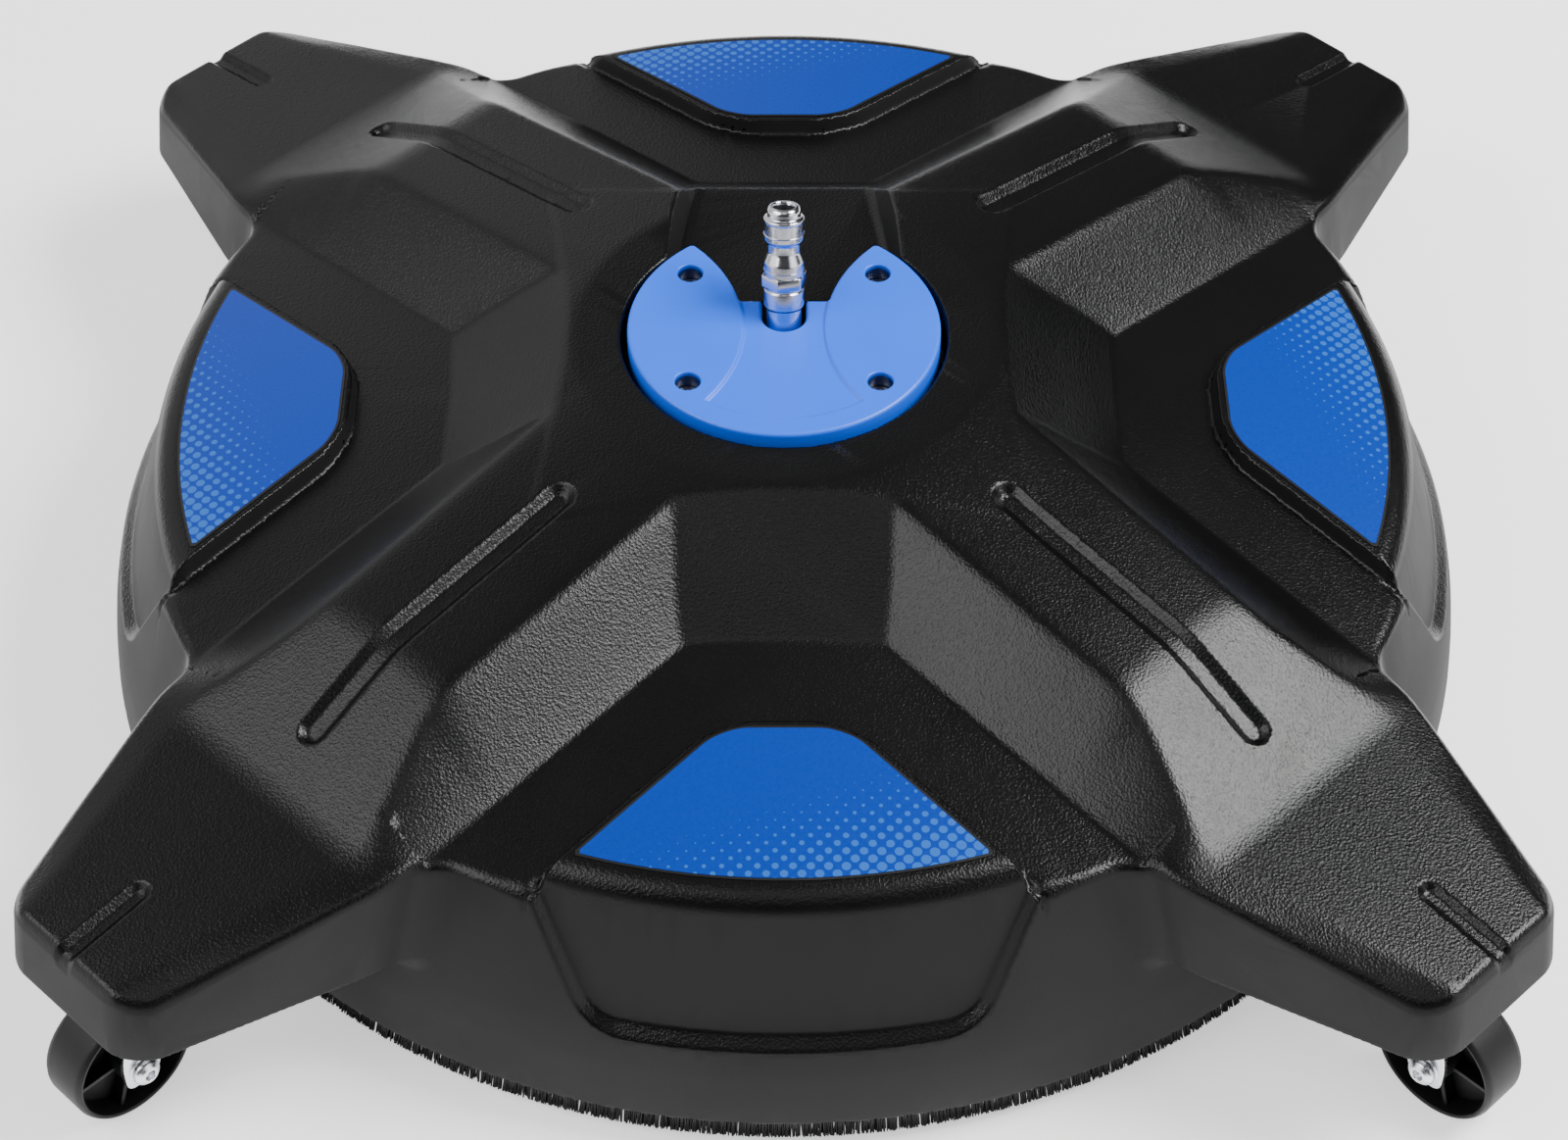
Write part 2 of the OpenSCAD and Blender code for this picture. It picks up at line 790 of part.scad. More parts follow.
// Fork leg: a tapered side plate from the crown down to the axle
module fork_leg() {
    boss_r = 5;
    linear_extrude(leg_t) difference() {
        union() {
            polygon([
                [-11, crown_z + 0.4], [trail - 2, crown_z + 0.4], [trail + boss_r - 0.2, wheel_r + 1],
                [trail, wheel_r - boss_r], [trail - boss_r + 1, wheel_r - 3]
            ]);
            translate([trail, wheel_r]) circle(r = boss_r);
        }
        translate([trail, wheel_r]) circle(r = axle_r + 0.03);
    }
}

module caster_fork(direction) {
    color(ZINC) at_caster(direction) difference() {
        union() {
            rod(15, crown_z, crown_z + crown_t);
            translate([-11, -leg_half - leg_t, crown_z]) cube([trail + 9, 2 * (leg_half + leg_t), crown_t]);
            rod(14, crown_z + 1, caster_ball_z - 0.3);
            for (side = [-1, 1]) {
                translate([0, side * (leg_half + leg_t / 2) + leg_t / 2, 0]) rotate([90, 0, 0]) fork_leg();
            }
        }
        rod(race_pitch_r - 3.4, crown_z + crown_t, caster_ball_z);
        rod(kingpin_r + 0.05, crown_z - over, caster_ball_z);
        caster_groove();
    }
}

module caster_kingpins() {
    color(ZINC) for (a = ARMS) at_caster(a) {
        rod(kingpin_r, 39.8, arm_low_z + 1);
        rod(5.6, 38.6, crown_z - 0.3);
        rod(5.6, arm_low_z, arm_low_z + 1.4);
    }
}

module caster_screws() {
    head_top = arm_low_z - 2 * gap - plate_t;
    color(ZINC) for (a = ARMS) at_caster(a) at_plate_screws() {
        translate([0, 0, head_top]) mirror([0, 0, 1]) pan_screw(2.5, 1.8, -12, 0, 1.9);
    }
}

// Axle bolt with a socket head on one side and its lock nut on the other
module caster_axle(direction) {
    head_at = leg_half + leg_t + 0.1;
    head_turn = direction == FRONT_RIGHT || direction == REAR_LEFT ? 90 : -90;
    color(ZINC) at_caster(direction) translate([trail, 0, wheel_r]) rotate([head_turn, 0, 0]) difference() {
        union() {
            rod(axle_r, -head_at - 3.4, head_at + 1);
            rod(4.4, head_at, head_at + 2.8);
            translate([0, 0, -head_at - 3]) cylinder(r = 5, h = 3, $fn = 6);
        }
        translate([0, 0, head_at + 1]) cylinder(r = 1.9, h = 3, $fn = 6);
    }
}

// Solid tread on a dished centre with six spokes and a long hub
module caster_wheel(direction) {
    half = wheel_w / 2;
    rim_inner = wheel_r - 3.4;
    color(BLACK) at_caster(direction) translate([trail, 0, wheel_r]) rotate([90, 0, 0]) {
        rotate_extrude($fn = 96) polygon([
            [rim_inner, -half + 0.4], [wheel_r - 1.4, -half], [wheel_r - 0.3, -half + 1.4],
            [wheel_r, -half + 3], [wheel_r, half - 3], [wheel_r - 0.3, half - 1.4],
            [wheel_r - 1.4, half], [rim_inner, half - 0.4]
        ]);
        rotate_extrude($fn = 96) polygon([
            [axle_r + 0.05, -half - 0.6], [6, -half - 0.6], [6.4, -2], [rim_inner + 0.5, -2],
            [rim_inner + 0.5, 2], [6.4, 2], [6, half + 0.6], [axle_r + 0.05, half + 0.6]
        ]);
        for (k = [0 : 5]) {
            rotate([0, 0, 60 * k]) translate([5.8, -0.9, -half + 2]) {
                cube([rim_inner - 5.4, 1.8, wheel_w - 4]);
            }
        }
    }
}

deck_housing();
hub_cover();
cover_screws();
label(-90);  // label_front
label(0);  // label_right
label(90);  // label_rear
label(180);  // label_left
pivot_block();
pivot_caps();
inlet_barrel();
inlet_plug();
pivot_orings();
swivel_housing();
swivel_bolts();
pressure_seal();
outer_race(upper_bearing_z);  // upper_outer_race
inner_race(upper_bearing_z);  // upper_inner_race
bearing_balls(upper_bearing_z);  // upper_bearing_balls
outer_race(lower_bearing_z);  // lower_outer_race
inner_race(lower_bearing_z);  // lower_inner_race
bearing_balls(lower_bearing_z);  // lower_bearing_balls
bearing_spacer();
retaining_ring();
rotor_shaft();
spray_hub();
spray_tube(1);  // spray_tube_right
spray_tube(-1);  // spray_tube_left
nozzle_holder(1);  // nozzle_holder_right
nozzle_holder(-1);  // nozzle_holder_left
nozzle(1);  // nozzle_right
nozzle(-1);  // nozzle_left
brush_carrier();
bristle_skirt();
skirt_screws();
caster_screws();
caster_kingpins();
caster_plate(FRONT_RIGHT);  // caster_plate_front_right
caster_plate(REAR_RIGHT);  // caster_plate_rear_right
caster_plate(REAR_LEFT);  // caster_plate_rear_left
caster_plate(FRONT_LEFT);  // caster_plate_front_left
caster_balls(FRONT_RIGHT);  // caster_balls_front_right
caster_balls(REAR_RIGHT);  // caster_balls_rear_right
caster_balls(REAR_LEFT);  // caster_balls_rear_left
caster_balls(FRONT_LEFT);  // caster_balls_front_left
caster_fork(FRONT_RIGHT);  // caster_fork_front_right
caster_fork(REAR_RIGHT);  // caster_fork_rear_right
caster_fork(REAR_LEFT);  // caster_fork_rear_left
caster_fork(FRONT_LEFT);  // caster_fork_front_left
caster_axle(FRONT_RIGHT);  // caster_axle_front_right
caster_axle(REAR_RIGHT);  // caster_axle_rear_right
caster_axle(REAR_LEFT);  // caster_axle_rear_left
caster_axle(FRONT_LEFT);  // caster_axle_front_left
caster_wheel(FRONT_RIGHT);  // caster_wheel_front_right
caster_wheel(REAR_RIGHT);  // caster_wheel_rear_right
caster_wheel(REAR_LEFT);  // caster_wheel_rear_left
caster_wheel(FRONT_LEFT);  // caster_wheel_front_left
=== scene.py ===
"""Looks of the surface cleaner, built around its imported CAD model.

Blender objects are in metres. The shape functions below work in millimetres, in the same frame:
+Z up, -Y the front, the spin axis at x = y = 0 and the floor at z = 0.
"""

import json
import math

import bmesh
import bpy
import numpy as np
from mathutils import Matrix, Vector


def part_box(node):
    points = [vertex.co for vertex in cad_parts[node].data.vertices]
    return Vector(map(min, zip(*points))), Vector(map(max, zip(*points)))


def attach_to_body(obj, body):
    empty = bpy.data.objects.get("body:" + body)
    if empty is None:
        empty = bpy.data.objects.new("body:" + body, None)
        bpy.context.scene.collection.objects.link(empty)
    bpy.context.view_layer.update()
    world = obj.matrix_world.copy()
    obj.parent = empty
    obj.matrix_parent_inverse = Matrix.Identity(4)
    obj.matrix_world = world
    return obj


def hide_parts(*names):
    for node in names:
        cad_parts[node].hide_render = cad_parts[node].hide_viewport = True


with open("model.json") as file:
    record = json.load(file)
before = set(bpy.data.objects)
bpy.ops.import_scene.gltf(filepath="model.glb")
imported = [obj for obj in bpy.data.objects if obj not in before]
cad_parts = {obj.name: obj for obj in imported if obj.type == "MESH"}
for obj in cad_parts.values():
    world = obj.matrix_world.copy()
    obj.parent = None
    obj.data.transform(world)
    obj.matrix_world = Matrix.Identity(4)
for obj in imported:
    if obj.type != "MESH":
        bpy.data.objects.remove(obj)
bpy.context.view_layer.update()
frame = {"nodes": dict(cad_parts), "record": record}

MM = 0.001
ARMS = {"front_right": -45, "rear_right": 45, "rear_left": 135, "front_left": -135}
SECTORS = {"front": -90, "right": 0, "rear": 90, "left": 180}


def box_mm(node):
    """Lowest and highest corner of a CAD node, in millimetres."""
    low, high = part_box(node)
    return low / MM, high / MM


# ---------------------------------------------------------------- camera

CAMERA_AT = Vector((0, -0.8429, 0.8893))
CAMERA_DOWN = math.radians(44.88)
CAMERA_LENS = 88.2
CAMERA_SHIFT = -0.0438


def make_camera():
    camera = bpy.data.objects.new("camera", bpy.data.cameras.new("camera"))
    bpy.context.scene.collection.objects.link(camera)
    camera.location = CAMERA_AT
    camera.rotation_euler = (math.pi / 2 - CAMERA_DOWN, 0, 0)
    camera.data.lens = CAMERA_LENS
    camera.data.shift_y = CAMERA_SHIFT
    camera.data.clip_start = 0.05
    camera.data.clip_end = 50
    bpy.context.scene.camera = camera


make_camera()

# ---------------------------------------------------------------- shape tools


def smooth_max(a, b, width):
    """Larger of a and b, blended where they differ by less than width."""
    share = np.clip(0.5 + 0.5 * (a - b) / width, 0, 1)
    return b + (a - b) * share + width * share * (1 - share)


def smooth_min(a, b, width):
    return -smooth_max(-a, -b, width)


def round_max(a, b, radius):
    """Intersection of two distance fields with its edge rounded to radius."""
    corner = np.hypot(np.maximum(a + radius, 0), np.maximum(b + radius, 0))
    return np.minimum(np.maximum(a, b), -radius) + corner


def round_min(a, b, radius):
    """Union of two distance fields with a fillet of that radius."""
    return -round_max(-a, -b, radius)


def ease(value):
    """Smooth step from 0 to 1."""
    value = np.clip(value, 0, 1)
    return value * value * (3 - 2 * value)


def band(value, low, high):
    """Distance outside a range."""
    return np.maximum(low - value, value - high)


def falling(at, start, height, slope):
    """Straight line through a height at its start, falling by slope."""
    return height - slope * (at - start)


def curve(points, blur):
    """Function through (position, value) points, its corners softened over blur millimetres."""
    grid = np.arange(-60.0, 361.0)
    value = np.interp(grid, [p[0] for p in points], [p[1] for p in points])
    reach = np.arange(-4 * math.ceil(blur), 4 * math.ceil(blur) + 1)
    weight = np.exp(-0.5 * (reach / blur) ** 2)
    padded = np.pad(value, len(reach) // 2, mode="edge")
    value = np.convolve(padded, weight / weight.sum(), mode="valid")
    return lambda at: np.interp(at, grid, value)


def gradient(field, points, step):
    """Gradient of field at points, by central differences."""
    found = np.empty_like(points)
    for axis in range(3):
        ahead, behind = points.copy(), points.copy()
        ahead[:, axis] += step
        behind[:, axis] -= step
        found[:, axis] = (field(*ahead.T) - field(*behind.T)) / (2 * step)
    return found


def surface_net(field, low, high, step):
    """Vertices and quads of the surface where field is 0; the field is negative inside."""
    axes = [np.arange(a, b + step, step) for a, b in zip(low, high)]
    value = field(axes[0][:, None, None], axes[1][None, :, None], axes[2][None, None, :])
    value = np.asarray(value, np.float32)
    inside = value < 0
    shape = np.array(value.shape)
    corners = [np.array((i, j, k)) for i in (0, 1) for j in (0, 1) for k in (0, 1)]
    windows = [tuple(slice(c[a], shape[a] - 1 + c[a]) for a in range(3)) for c in corners]
    count = sum(inside[window].astype(np.int8) for window in windows)
    cells = np.argwhere((count > 0) & (count < 8))
    total, hits = np.zeros((len(cells), 3)), np.zeros(len(cells))
    for first in corners:
        for axis in range(3):
            if first[axis]:
                continue
            second = first.copy()
            second[axis] = 1
            a, b = value[tuple((cells + first).T)], value[tuple((cells + second).T)]
            crossed = (a < 0) != (b < 0)
            share = np.where(crossed, a / np.where(crossed, a - b, 1), 0)
            place = first + share[:, None] * (second - first)
            total += place * crossed[:, None]
            hits += crossed
    vertices = np.array(low) + step * (cells + total / hits[:, None])
    number = np.full(shape, -1, np.int32)
    number[tuple(cells.T)] = np.arange(len(cells))
    quads = []
    for axis in range(3):
        near, far = [slice(None)] * 3, [slice(None)] * 3
        near[axis], far[axis] = slice(0, -1), slice(1, None)
        starts = inside[tuple(near)]
        edges = np.argwhere(starts != inside[tuple(far)])
        u, v = np.eye(3, dtype=int)[(axis + 1) % 3], np.eye(3, dtype=int)[(axis + 2) % 3]
        ring = np.stack([number[tuple((edges - off).T)] for off in (0 * u, u, u + v, v)], 1)
        leaving = starts[tuple(edges.T)]
        quads.append(np.where(leaving[:, None], ring, ring[:, ::-1]))
    return vertices, np.concatenate(quads)


def onto_surface(field, points, step):
    """Points moved onto the surface where field is 0."""
    for _ in range(3):
        slope = gradient(field, points, 0.05)
        length = np.maximum((slope**2).sum(1), 0.05)
        move = slope * (field(*points.T) / length)[:, None]
        far = np.linalg.norm(move, axis=1, keepdims=True)
        points = points - move * np.minimum(1, 0.6 * step / np.maximum(far, 1e-9))
    return points


def mesh_from(name, vertices, faces):
    """Mesh from vertices in millimetres and faces of any size."""
    mesh = bpy.data.meshes.new(name)
    points = np.asarray(vertices, np.float64) * MM
    mesh.from_pydata(points.tolist(), [], faces.tolist() if isinstance(faces, np.ndarray) else faces)
    mesh.validate()
    mesh.shade_smooth()
    return mesh


def add_object(name, mesh):
    piece = bpy.data.objects.new(name, mesh)
    bpy.context.scene.collection.objects.link(piece)
    return piece


def applied(piece):
    """The piece with its modifiers applied to its mesh."""
    bpy.context.view_layer.update()
    evaluated = piece.evaluated_get(bpy.context.evaluated_depsgraph_get())
    mesh = bpy.data.meshes.new_from_object(evaluated)
    piece.modifiers.clear()
    piece.data = mesh
    return piece


def moulded(name, field, low, high, step, triangles):
    """Piece bounded by field, thinned to that many triangles, shaded with the field's own normals."""
    vertices, quads = surface_net(field, low, high, step)
    vertices = onto_surface(field, vertices, step)
    piece = add_object(name, mesh_from(name, vertices, quads))
    if 2 * len(quads) > triangles:
        thin = piece.modifiers.new("thin", "DECIMATE")
        thin.ratio = triangles / (2 * len(quads))
        applied(piece)
    mesh = piece.data
    points = np.empty(3 * len(mesh.vertices), np.float32)
    mesh.vertices.foreach_get("co", points)
    points = points.reshape(-1, 3).astype(float) / MM
    normals = gradient(field, points, 0.3)
    normals /= np.maximum(np.linalg.norm(normals, axis=1, keepdims=True), 1e-9)
    mesh.shade_smooth()
    mesh.normals_split_custom_set_from_vertices(normals.astype(np.float32))
    return piece


# ---------------------------------------------------------------- housing shape, millimetres

SHELL = 3.2
ARM_LOW = 48.0
WALL_LOW = box_mm("deck_housing")[0].z
PLATEAU_Z = box_mm("deck_housing")[1].z
LABEL_INNER, LABEL_HALF, LABEL_OUTER = 133.0, 17.5, 182.5
LABEL_CORNER = 1.4
PAD_RISE = 5.4
RECESS_FLOOR, RECESS_R = 109.0, 48.6
WELL_FLOOR, WELL_R = 91.0, 28.0
SHAFT_BORE_R = 8.4
CONE_R, CONE_SLOPE = 63, 0.165

# Straight surfaces by place outward: where each starts, its height there and how it falls
DECK = (104.5, 93.2, 0.144)
HUB_PANEL = (66.3, 119.3, 0.752)
ARM_RAMP = (157, 105, 0.496)
ARM_TIP = (204, 81.7, 0.146)
ARM_END = (273.6, 71.6, 0.62)

# Grooves along an arm: start, end, depth, half width and breadth of the eased flank
GROOVES = [(90.8, 184.4, 2.7, 5.4, 3.5), (249, 400, 2.0, 3.8, 2.6)]

# Arm sides: half width, then where they taper and by how much, and where the arm ends
ARM_HALF, TAPER_S, TAPER, ARM_LENGTH = 51.7, 204.5, 0.315, 278.6

# Shield panels: half width at a height, narrowing below it, low edge and depth
SHIELD_HALF, SHIELD_Z, SHIELD_SLOPE, SHIELD_LOW, SHIELD_DEPTH = 70.8, 80.6, 0.4, 40.3, 3.3

# Lance channel: half width by place along it, at its floor and higher up
CHANNEL_FLOOR, CHANNEL_TOP = (37, 33.5, 0.156), (37, 35, 0.059)
CHANNEL_DEPTH, CHANNEL_START = 11, 20

# Outer radius of the round wall by height
wall_radius = curve([(13, 209), (22, 208.4), (32, 207.2), (41, 205.3), (50, 202.8), (60, 200),
                     (70, 197.1), (120, 182.6)], 2)
# By place along an arm: half width of its flat top, then half width and height of its lower edge
arm_flat_half = curve([(40, 26.4), (67, 26), (157, 24.6), (165, 25.6), (181, 31.2), (196, 36.6),
                       (205, 37.6), (221, 32.8), (245, 27.4), (261, 22.8), (276, 20.2)], 2)
arm_edge_half = curve([(188, 51.4), (204, 51.4), (225, 44.2), (246, 36.8), (268, 29), (280, 24.8)], 3)
arm_edge_z = curve([(190, 80.7), (202, 80.2), (215, 78.4), (225, 76.4), (246, 72.7), (257, 70.5),
                    (276, 67.6)], 3)


def folded(x, y):
    """Places by symmetry: along and across an arm, and out from and across a sector."""
    ax, ay = np.abs(x), np.abs(y)
    along_arm, across_arm = (ax + ay) / math.sqrt(2), np.abs(ax - ay) / math.sqrt(2)
    return along_arm, across_arm, np.maximum(ax, ay), np.minimum(ax, ay)


def deck_z(r):
    return falling(r, *DECK)


def label_field(out, across):
    """Distance outside a label's straight edges, in plan."""
    flank = (across - LABEL_HALF - (out - LABEL_INNER)) / math.sqrt(2)
    return round_max(LABEL_INNER - out, flank, 6)


def crown_z(s, r):
    """Height of the hub's cone, and along the top of an arm: level part, ramp and tip."""
    cone = PLATEAU_Z - CONE_SLOPE * smooth_max(r - CONE_R, 0 * r, 2)
    lower = smooth_max(falling(s, *ARM_RAMP), falling(s, *ARM_TIP), 1.7)
    return cone, smooth_min(cone, lower, 1.8)


def top_z(x, y):
    """Height of the housing's upper surface."""
    s, t, out, across = folded(x, y)
    r = np.hypot(x, y)
    cone, crown = crown_z(s, r)
    deck = deck_z(r) - 2.5 * np.maximum(r - 198, 0)
    deck = deck + PAD_RISE * ease((1.1 - (label_field(out, across) - 2.8)) / 2.3)
    height = smooth_max(deck, smooth_min(cone, falling(out, *HUB_PANEL), 1.1), 0.8)
    half, edge = arm_flat_half(s), arm_edge_half(s)
    foot = np.where(s < 190, deck_z(np.hypot(s, edge)), arm_edge_z(s))
    share = (t - half) / (edge - half)
    softness = 2.0 / (edge - half)
    drop = (share + np.sqrt(share**2 + softness**2)) / 2
    height = smooth_max(height, crown + (foot - crown) * drop, 0.9)
    height = smooth_min(height, falling(s, *ARM_END), 0.5)
    for start, end, depth, reach, flank in GROOVES:
        away = np.hypot(np.maximum(band(s, start, end), 0), t)
        height = height - depth * ease((reach - away) / flank)
    return height


def side_field(x, y, z):
    """Distance outside the round wall and the arms' sides, with the shield panels sunk in."""
    s, t, _, across = folded(x, y)
    edge = (across - SHIELD_HALF + SHIELD_SLOPE * (SHIELD_Z - z)) * 0.928
    shield = round_max(edge, SHIELD_LOW - z, 10)
    wall = (np.hypot(x, y) - wall_radius(z)) * 0.963 + SHIELD_DEPTH * ease(-shield / 4.8)
    straight = t - ARM_HALF
    taper = (t - ARM_HALF + TAPER * (s - TAPER_S) + 0.08 * (z - ARM_LOW)) * 0.954
    end = s - ARM_LENGTH + 0.12 * (z - ARM_LOW)
    arm = round_max(smooth_max(straight, taper, 3.5), end, 10.2)
    arm = round_max(arm, ARM_LOW - z, 1.2)
    return round_min(wall, arm, 7)


def cavity_field(x, y, z):
    """Distance outside the cover's recess, the lance channel and the well of the inlet block."""
    r = np.hypot(x, y)
    recess = round_max(r - RECESS_R, RECESS_FLOOR - z, 0.9)
    floor_half, top_half = falling(y, *CHANNEL_FLOOR), falling(y, *CHANNEL_TOP)
    half = floor_half + (top_half - floor_half) * (z - RECESS_FLOOR) / CHANNEL_DEPTH
    channel = round_max((np.abs(x) - half) * 0.97, RECESS_FLOOR - z, 2.2)
    channel = np.maximum(channel, CHANNEL_START - y)
    well = round_max(r - WELL_R, WELL_FLOOR - z, 0.8)
    return np.minimum(np.minimum(recess, channel), well)


def outer_field(x, y, z):
    """The outside of the housing; its upper edge is rounder over the shields than at the arms."""
    step = 0.4
    height = top_z(x, y)
    slope_x = (top_z(x + step, y) - top_z(x - step, y)) / (2 * step)
    slope_y = (top_z(x, y + step) - top_z(x, y - step)) / (2 * step)
    top = (z - height) / np.sqrt(1 + np.minimum(slope_x**2 + slope_y**2, 9))
    across = np.minimum(np.abs(x), np.abs(y))
    edge_radius = 2.6 + 2.8 * ease((82 - across) / 24)
    body = round_max(top, side_field(x, y, z), edge_radius)
    return round_max(body, -cavity_field(x, y, z), 0.8)


def post(x, y, z, at, radius, low, high):
    return np.maximum(np.hypot(x - at[0], y - at[1]) - radius, band(z, low, high))


def fittings_field(x, y, z):
    """Ribs, ledge and screw bosses inside the shell."""
    s, t, out, across = folded(x, y)
    r = np.hypot(x, y)
    ledge = np.maximum(band(r, 194.6, 206), band(z, 38, 41))
    arm_rib = np.maximum(np.maximum(t - 1.1, 80 - z), 32 - s)
    tip_rib = np.maximum(np.maximum(t - 1.1, 56 - z), band(s, 205, 228))
    sector_rib = np.maximum(np.maximum(across - 1.0, 80 - z), 32 - out)
    ring_rib = np.maximum(band(r, 119, 121), 84 - z)
    turn = np.abs(np.arctan2(np.abs(y), np.abs(x)) - math.pi / 4)
    boss_at = (197 * math.cos(math.pi / 8), 197 * math.sin(math.pi / 8))
    skirt_boss = post(r * np.cos(turn), r * np.sin(turn), z, boss_at, 3.8, 38, 54)
    plate_boss = post(np.abs(s - 247), t, z, (14, 12), 4.4, ARM_LOW + 1, 61)
    found = ledge
    for field in (arm_rib, tip_rib, sector_rib, ring_rib, skirt_boss, plate_boss):
        found = np.minimum(found, field)
    return found


def housing_field(x, y, z):
    outer = outer_field(x, y, z)
    shell = np.abs(outer + SHELL / 2) - SHELL / 2
    inner = np.maximum(fittings_field(x, y, z), outer + 1.0)
    shell = round_min(shell, inner, 0.6)
    shell = np.maximum(shell, SHAFT_BORE_R - np.hypot(x, y))
    return round_max(shell, WALL_LOW + 0.3 - z, 0.9)


# ---------------------------------------------------------------- cover shape, millimetres

COVER_R = 46.5
COVER_LOW = box_mm("hub_cover")[0].z
COVER_TOP = box_mm("hub_cover")[1].z
COVER_SCREW = (28.15, 23.7)
EAR_AT, EAR_R = 64.2, 52.2
COVER_PANEL_R, PANEL_DEPTH = 39.2, 0.9
COVER_WALL, COVER_ROOF = 2.6, 3.4
SCREW_BOSS_R, COUNTERBORE_R, COUNTERBORE_DEPTH, SCREW_HOLE_R = 5.6, 3.8, 8, 2.2
SLOT_AT, SLOT_R = 5.7, 6.6


def cover_plan(x, y):
    """Distance outside the cover's outline, and outside its sunk middle panel."""
    r = np.hypot(x, y)
    beyond_ear = EAR_R - np.hypot(np.abs(x) - EAR_AT, y)
    gap = np.maximum(12.5 - y, beyond_ear)
    slot = np.hypot(x, np.minimum(y - SLOT_AT, 0)) - SLOT_R
    plan = round_max(round_max(r - COVER_R, -gap, 1.6), -slot, 0.7)
    return plan, np.maximum(r - COVER_PANEL_R, beyond_ear)


def cover_field(x, y, z):
    plan, panel = cover_plan(x, y)
    top = COVER_TOP - PANEL_DEPTH * ease((0.5 - panel) / 1.2)
    body = round_max(plan, z - top, 1.1)
    hollow = np.maximum(plan + COVER_WALL, z - COVER_TOP + COVER_ROOF)
    hole = np.hypot(np.abs(x) - COVER_SCREW[0], np.abs(y) - COVER_SCREW[1])
    hollow = np.maximum(hollow, SCREW_BOSS_R - hole)
    body = np.maximum(body, -hollow)
    counterbore = np.maximum(hole - COUNTERBORE_R, COVER_TOP - COUNTERBORE_DEPTH - z)
    body = round_max(body, -counterbore, 0.5)
    body = np.maximum(body, SCREW_HOLE_R - hole)
    return np.maximum(body, COVER_LOW - z)


# ---------------------------------------------------------------- mesh tools


def rounded(points, radius, steps=4, closed=False):
    """A polyline with its corners turned by arcs of about that radius."""
    points = [Vector(p) for p in points]
    found = []
    count = len(points)
    for k, here in enumerate(points):
        if not closed and k in (0, count - 1):
            found.append(here)
            continue
        before, after = points[k - 1] - here, points[(k + 1) % count] - here
        reach = min(radius, before.length * 0.45, after.length * 0.45)
        start, end = here + before.normalized() * reach, here + after.normalized() * reach
        for j in range(steps + 1):
            t = j / steps
            found.append(start * (1 - t) ** 2 + here * 2 * t * (1 - t) + end * t**2)
    return found


def lathe(profile, around=96):
    """Vertices and faces of a turned shape from a closed outline of (radius, height) points."""
    angles = np.linspace(0, math.tau, around, endpoint=False)
    vertices = [(r * math.cos(a), r * math.sin(a), z) for a in angles for r, z in profile]
    rows = len(profile)
    faces = []
    for k in range(around):
        for j in range(rows):
            i = (j + 1) % rows
            a, b = k * rows, (k + 1) % around * rows
            faces.append((a + j, b + j, b + i, a + i))
    return vertices, faces


def prism(outline, low, high, bevel=0.0, steps=3):
    """Vertices and faces of a plate with rounded rims, from its outline in the XY plane."""
    outline = [Vector(p) for p in outline]
    count = len(outline)
    normals = []
    for k in range(count):
        along = (outline[(k + 1) % count] - outline[k - 1]).normalized()
        normals.append(Vector((along.y, -along.x)))
    levels = []
    for j in range(steps + 1):
        turn = math.pi / 2 * j / steps
        levels.append((bevel * (1 - math.sin(turn)), low + bevel * (1 - math.cos(turn))))
    levels += [(inset, high + low - z) for inset, z in reversed(levels)]
    if bevel == 0:
        levels = [(0, low), (0, high)]
    vertices = []
    for inset, z in levels:
        vertices += [(*(point - normal * inset), z) for point, normal in zip(outline, normals)]
    top = (len(levels) - 1) * count
    faces = [tuple(reversed(range(count))), tuple(range(top, top + count))]
    for j in range(len(levels) - 1):
        for k in range(count):
            a, b = j * count, (j + 1) * count
            faces.append((a + k, a + (k + 1) % count, b + (k + 1) % count, b + k))
    return vertices, faces


def joined(*shapes):
    """One list of vertices and faces from several (vertices, faces) pairs."""
    vertices, faces = [], []
    for more_vertices, more_faces in shapes:
        start = len(vertices)
        vertices += list(more_vertices)
        faces += [tuple(start + k for k in face) for face in more_faces]
    return vertices, faces


def moved(shape, matrix):
    vertices, faces = shape
    return [tuple(matrix @ Vector(v)) for v in vertices], faces


def made(name, shape, matrix=Matrix(), smooth_angle=40):
    """A smooth-shaded object from a shape in millimetres."""
    vertices, faces = moved(shape, matrix)
    piece = add_object(name, mesh_from(name, vertices, faces))
    tidy = bmesh.new()
    tidy.from_mesh(piece.data)
    bmesh.ops.remove_doubles(tidy, verts=tidy.verts, dist=1e-7)
    bmesh.ops.recalc_face_normals(tidy, faces=tidy.faces)
    tidy.to_mesh(piece.data)
    tidy.free()
    piece.data.shade_smooth()
    piece.data.set_sharp_from_angle(angle=math.radians(smooth_angle))
    return piece


def soften(piece, width):
    """Small rounded edges on a hard shape."""
    bevel = piece.modifiers.new("edges", "BEVEL")
    bevel.width = width * MM
    bevel.segments = 2
    bevel.limit_method = "ANGLE"
    bevel.angle_limit = math.radians(35)
    bevel.use_clamp_overlap = True
    bevel.harden_normals = True


def attach(piece, body, slot, *nodes):
    """The piece moves with a body and stands in for CAD nodes; the slot argument is not used."""
    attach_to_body(piece, body)
    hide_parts(*nodes)


# ---------------------------------------------------------------- labels


def label_outline(across, grow):
    """Nearest and farthest place of a grown label on one line outward, or None where it has none."""
    out = np.linspace(125, 190, 1301)
    radius = np.hypot(out, across)
    inside = round_max(label_field(out, abs(across)), radius - LABEL_OUTER, LABEL_CORNER) < grow
    if not inside.any():
        return None
    return out[inside][0], out[inside][-1]


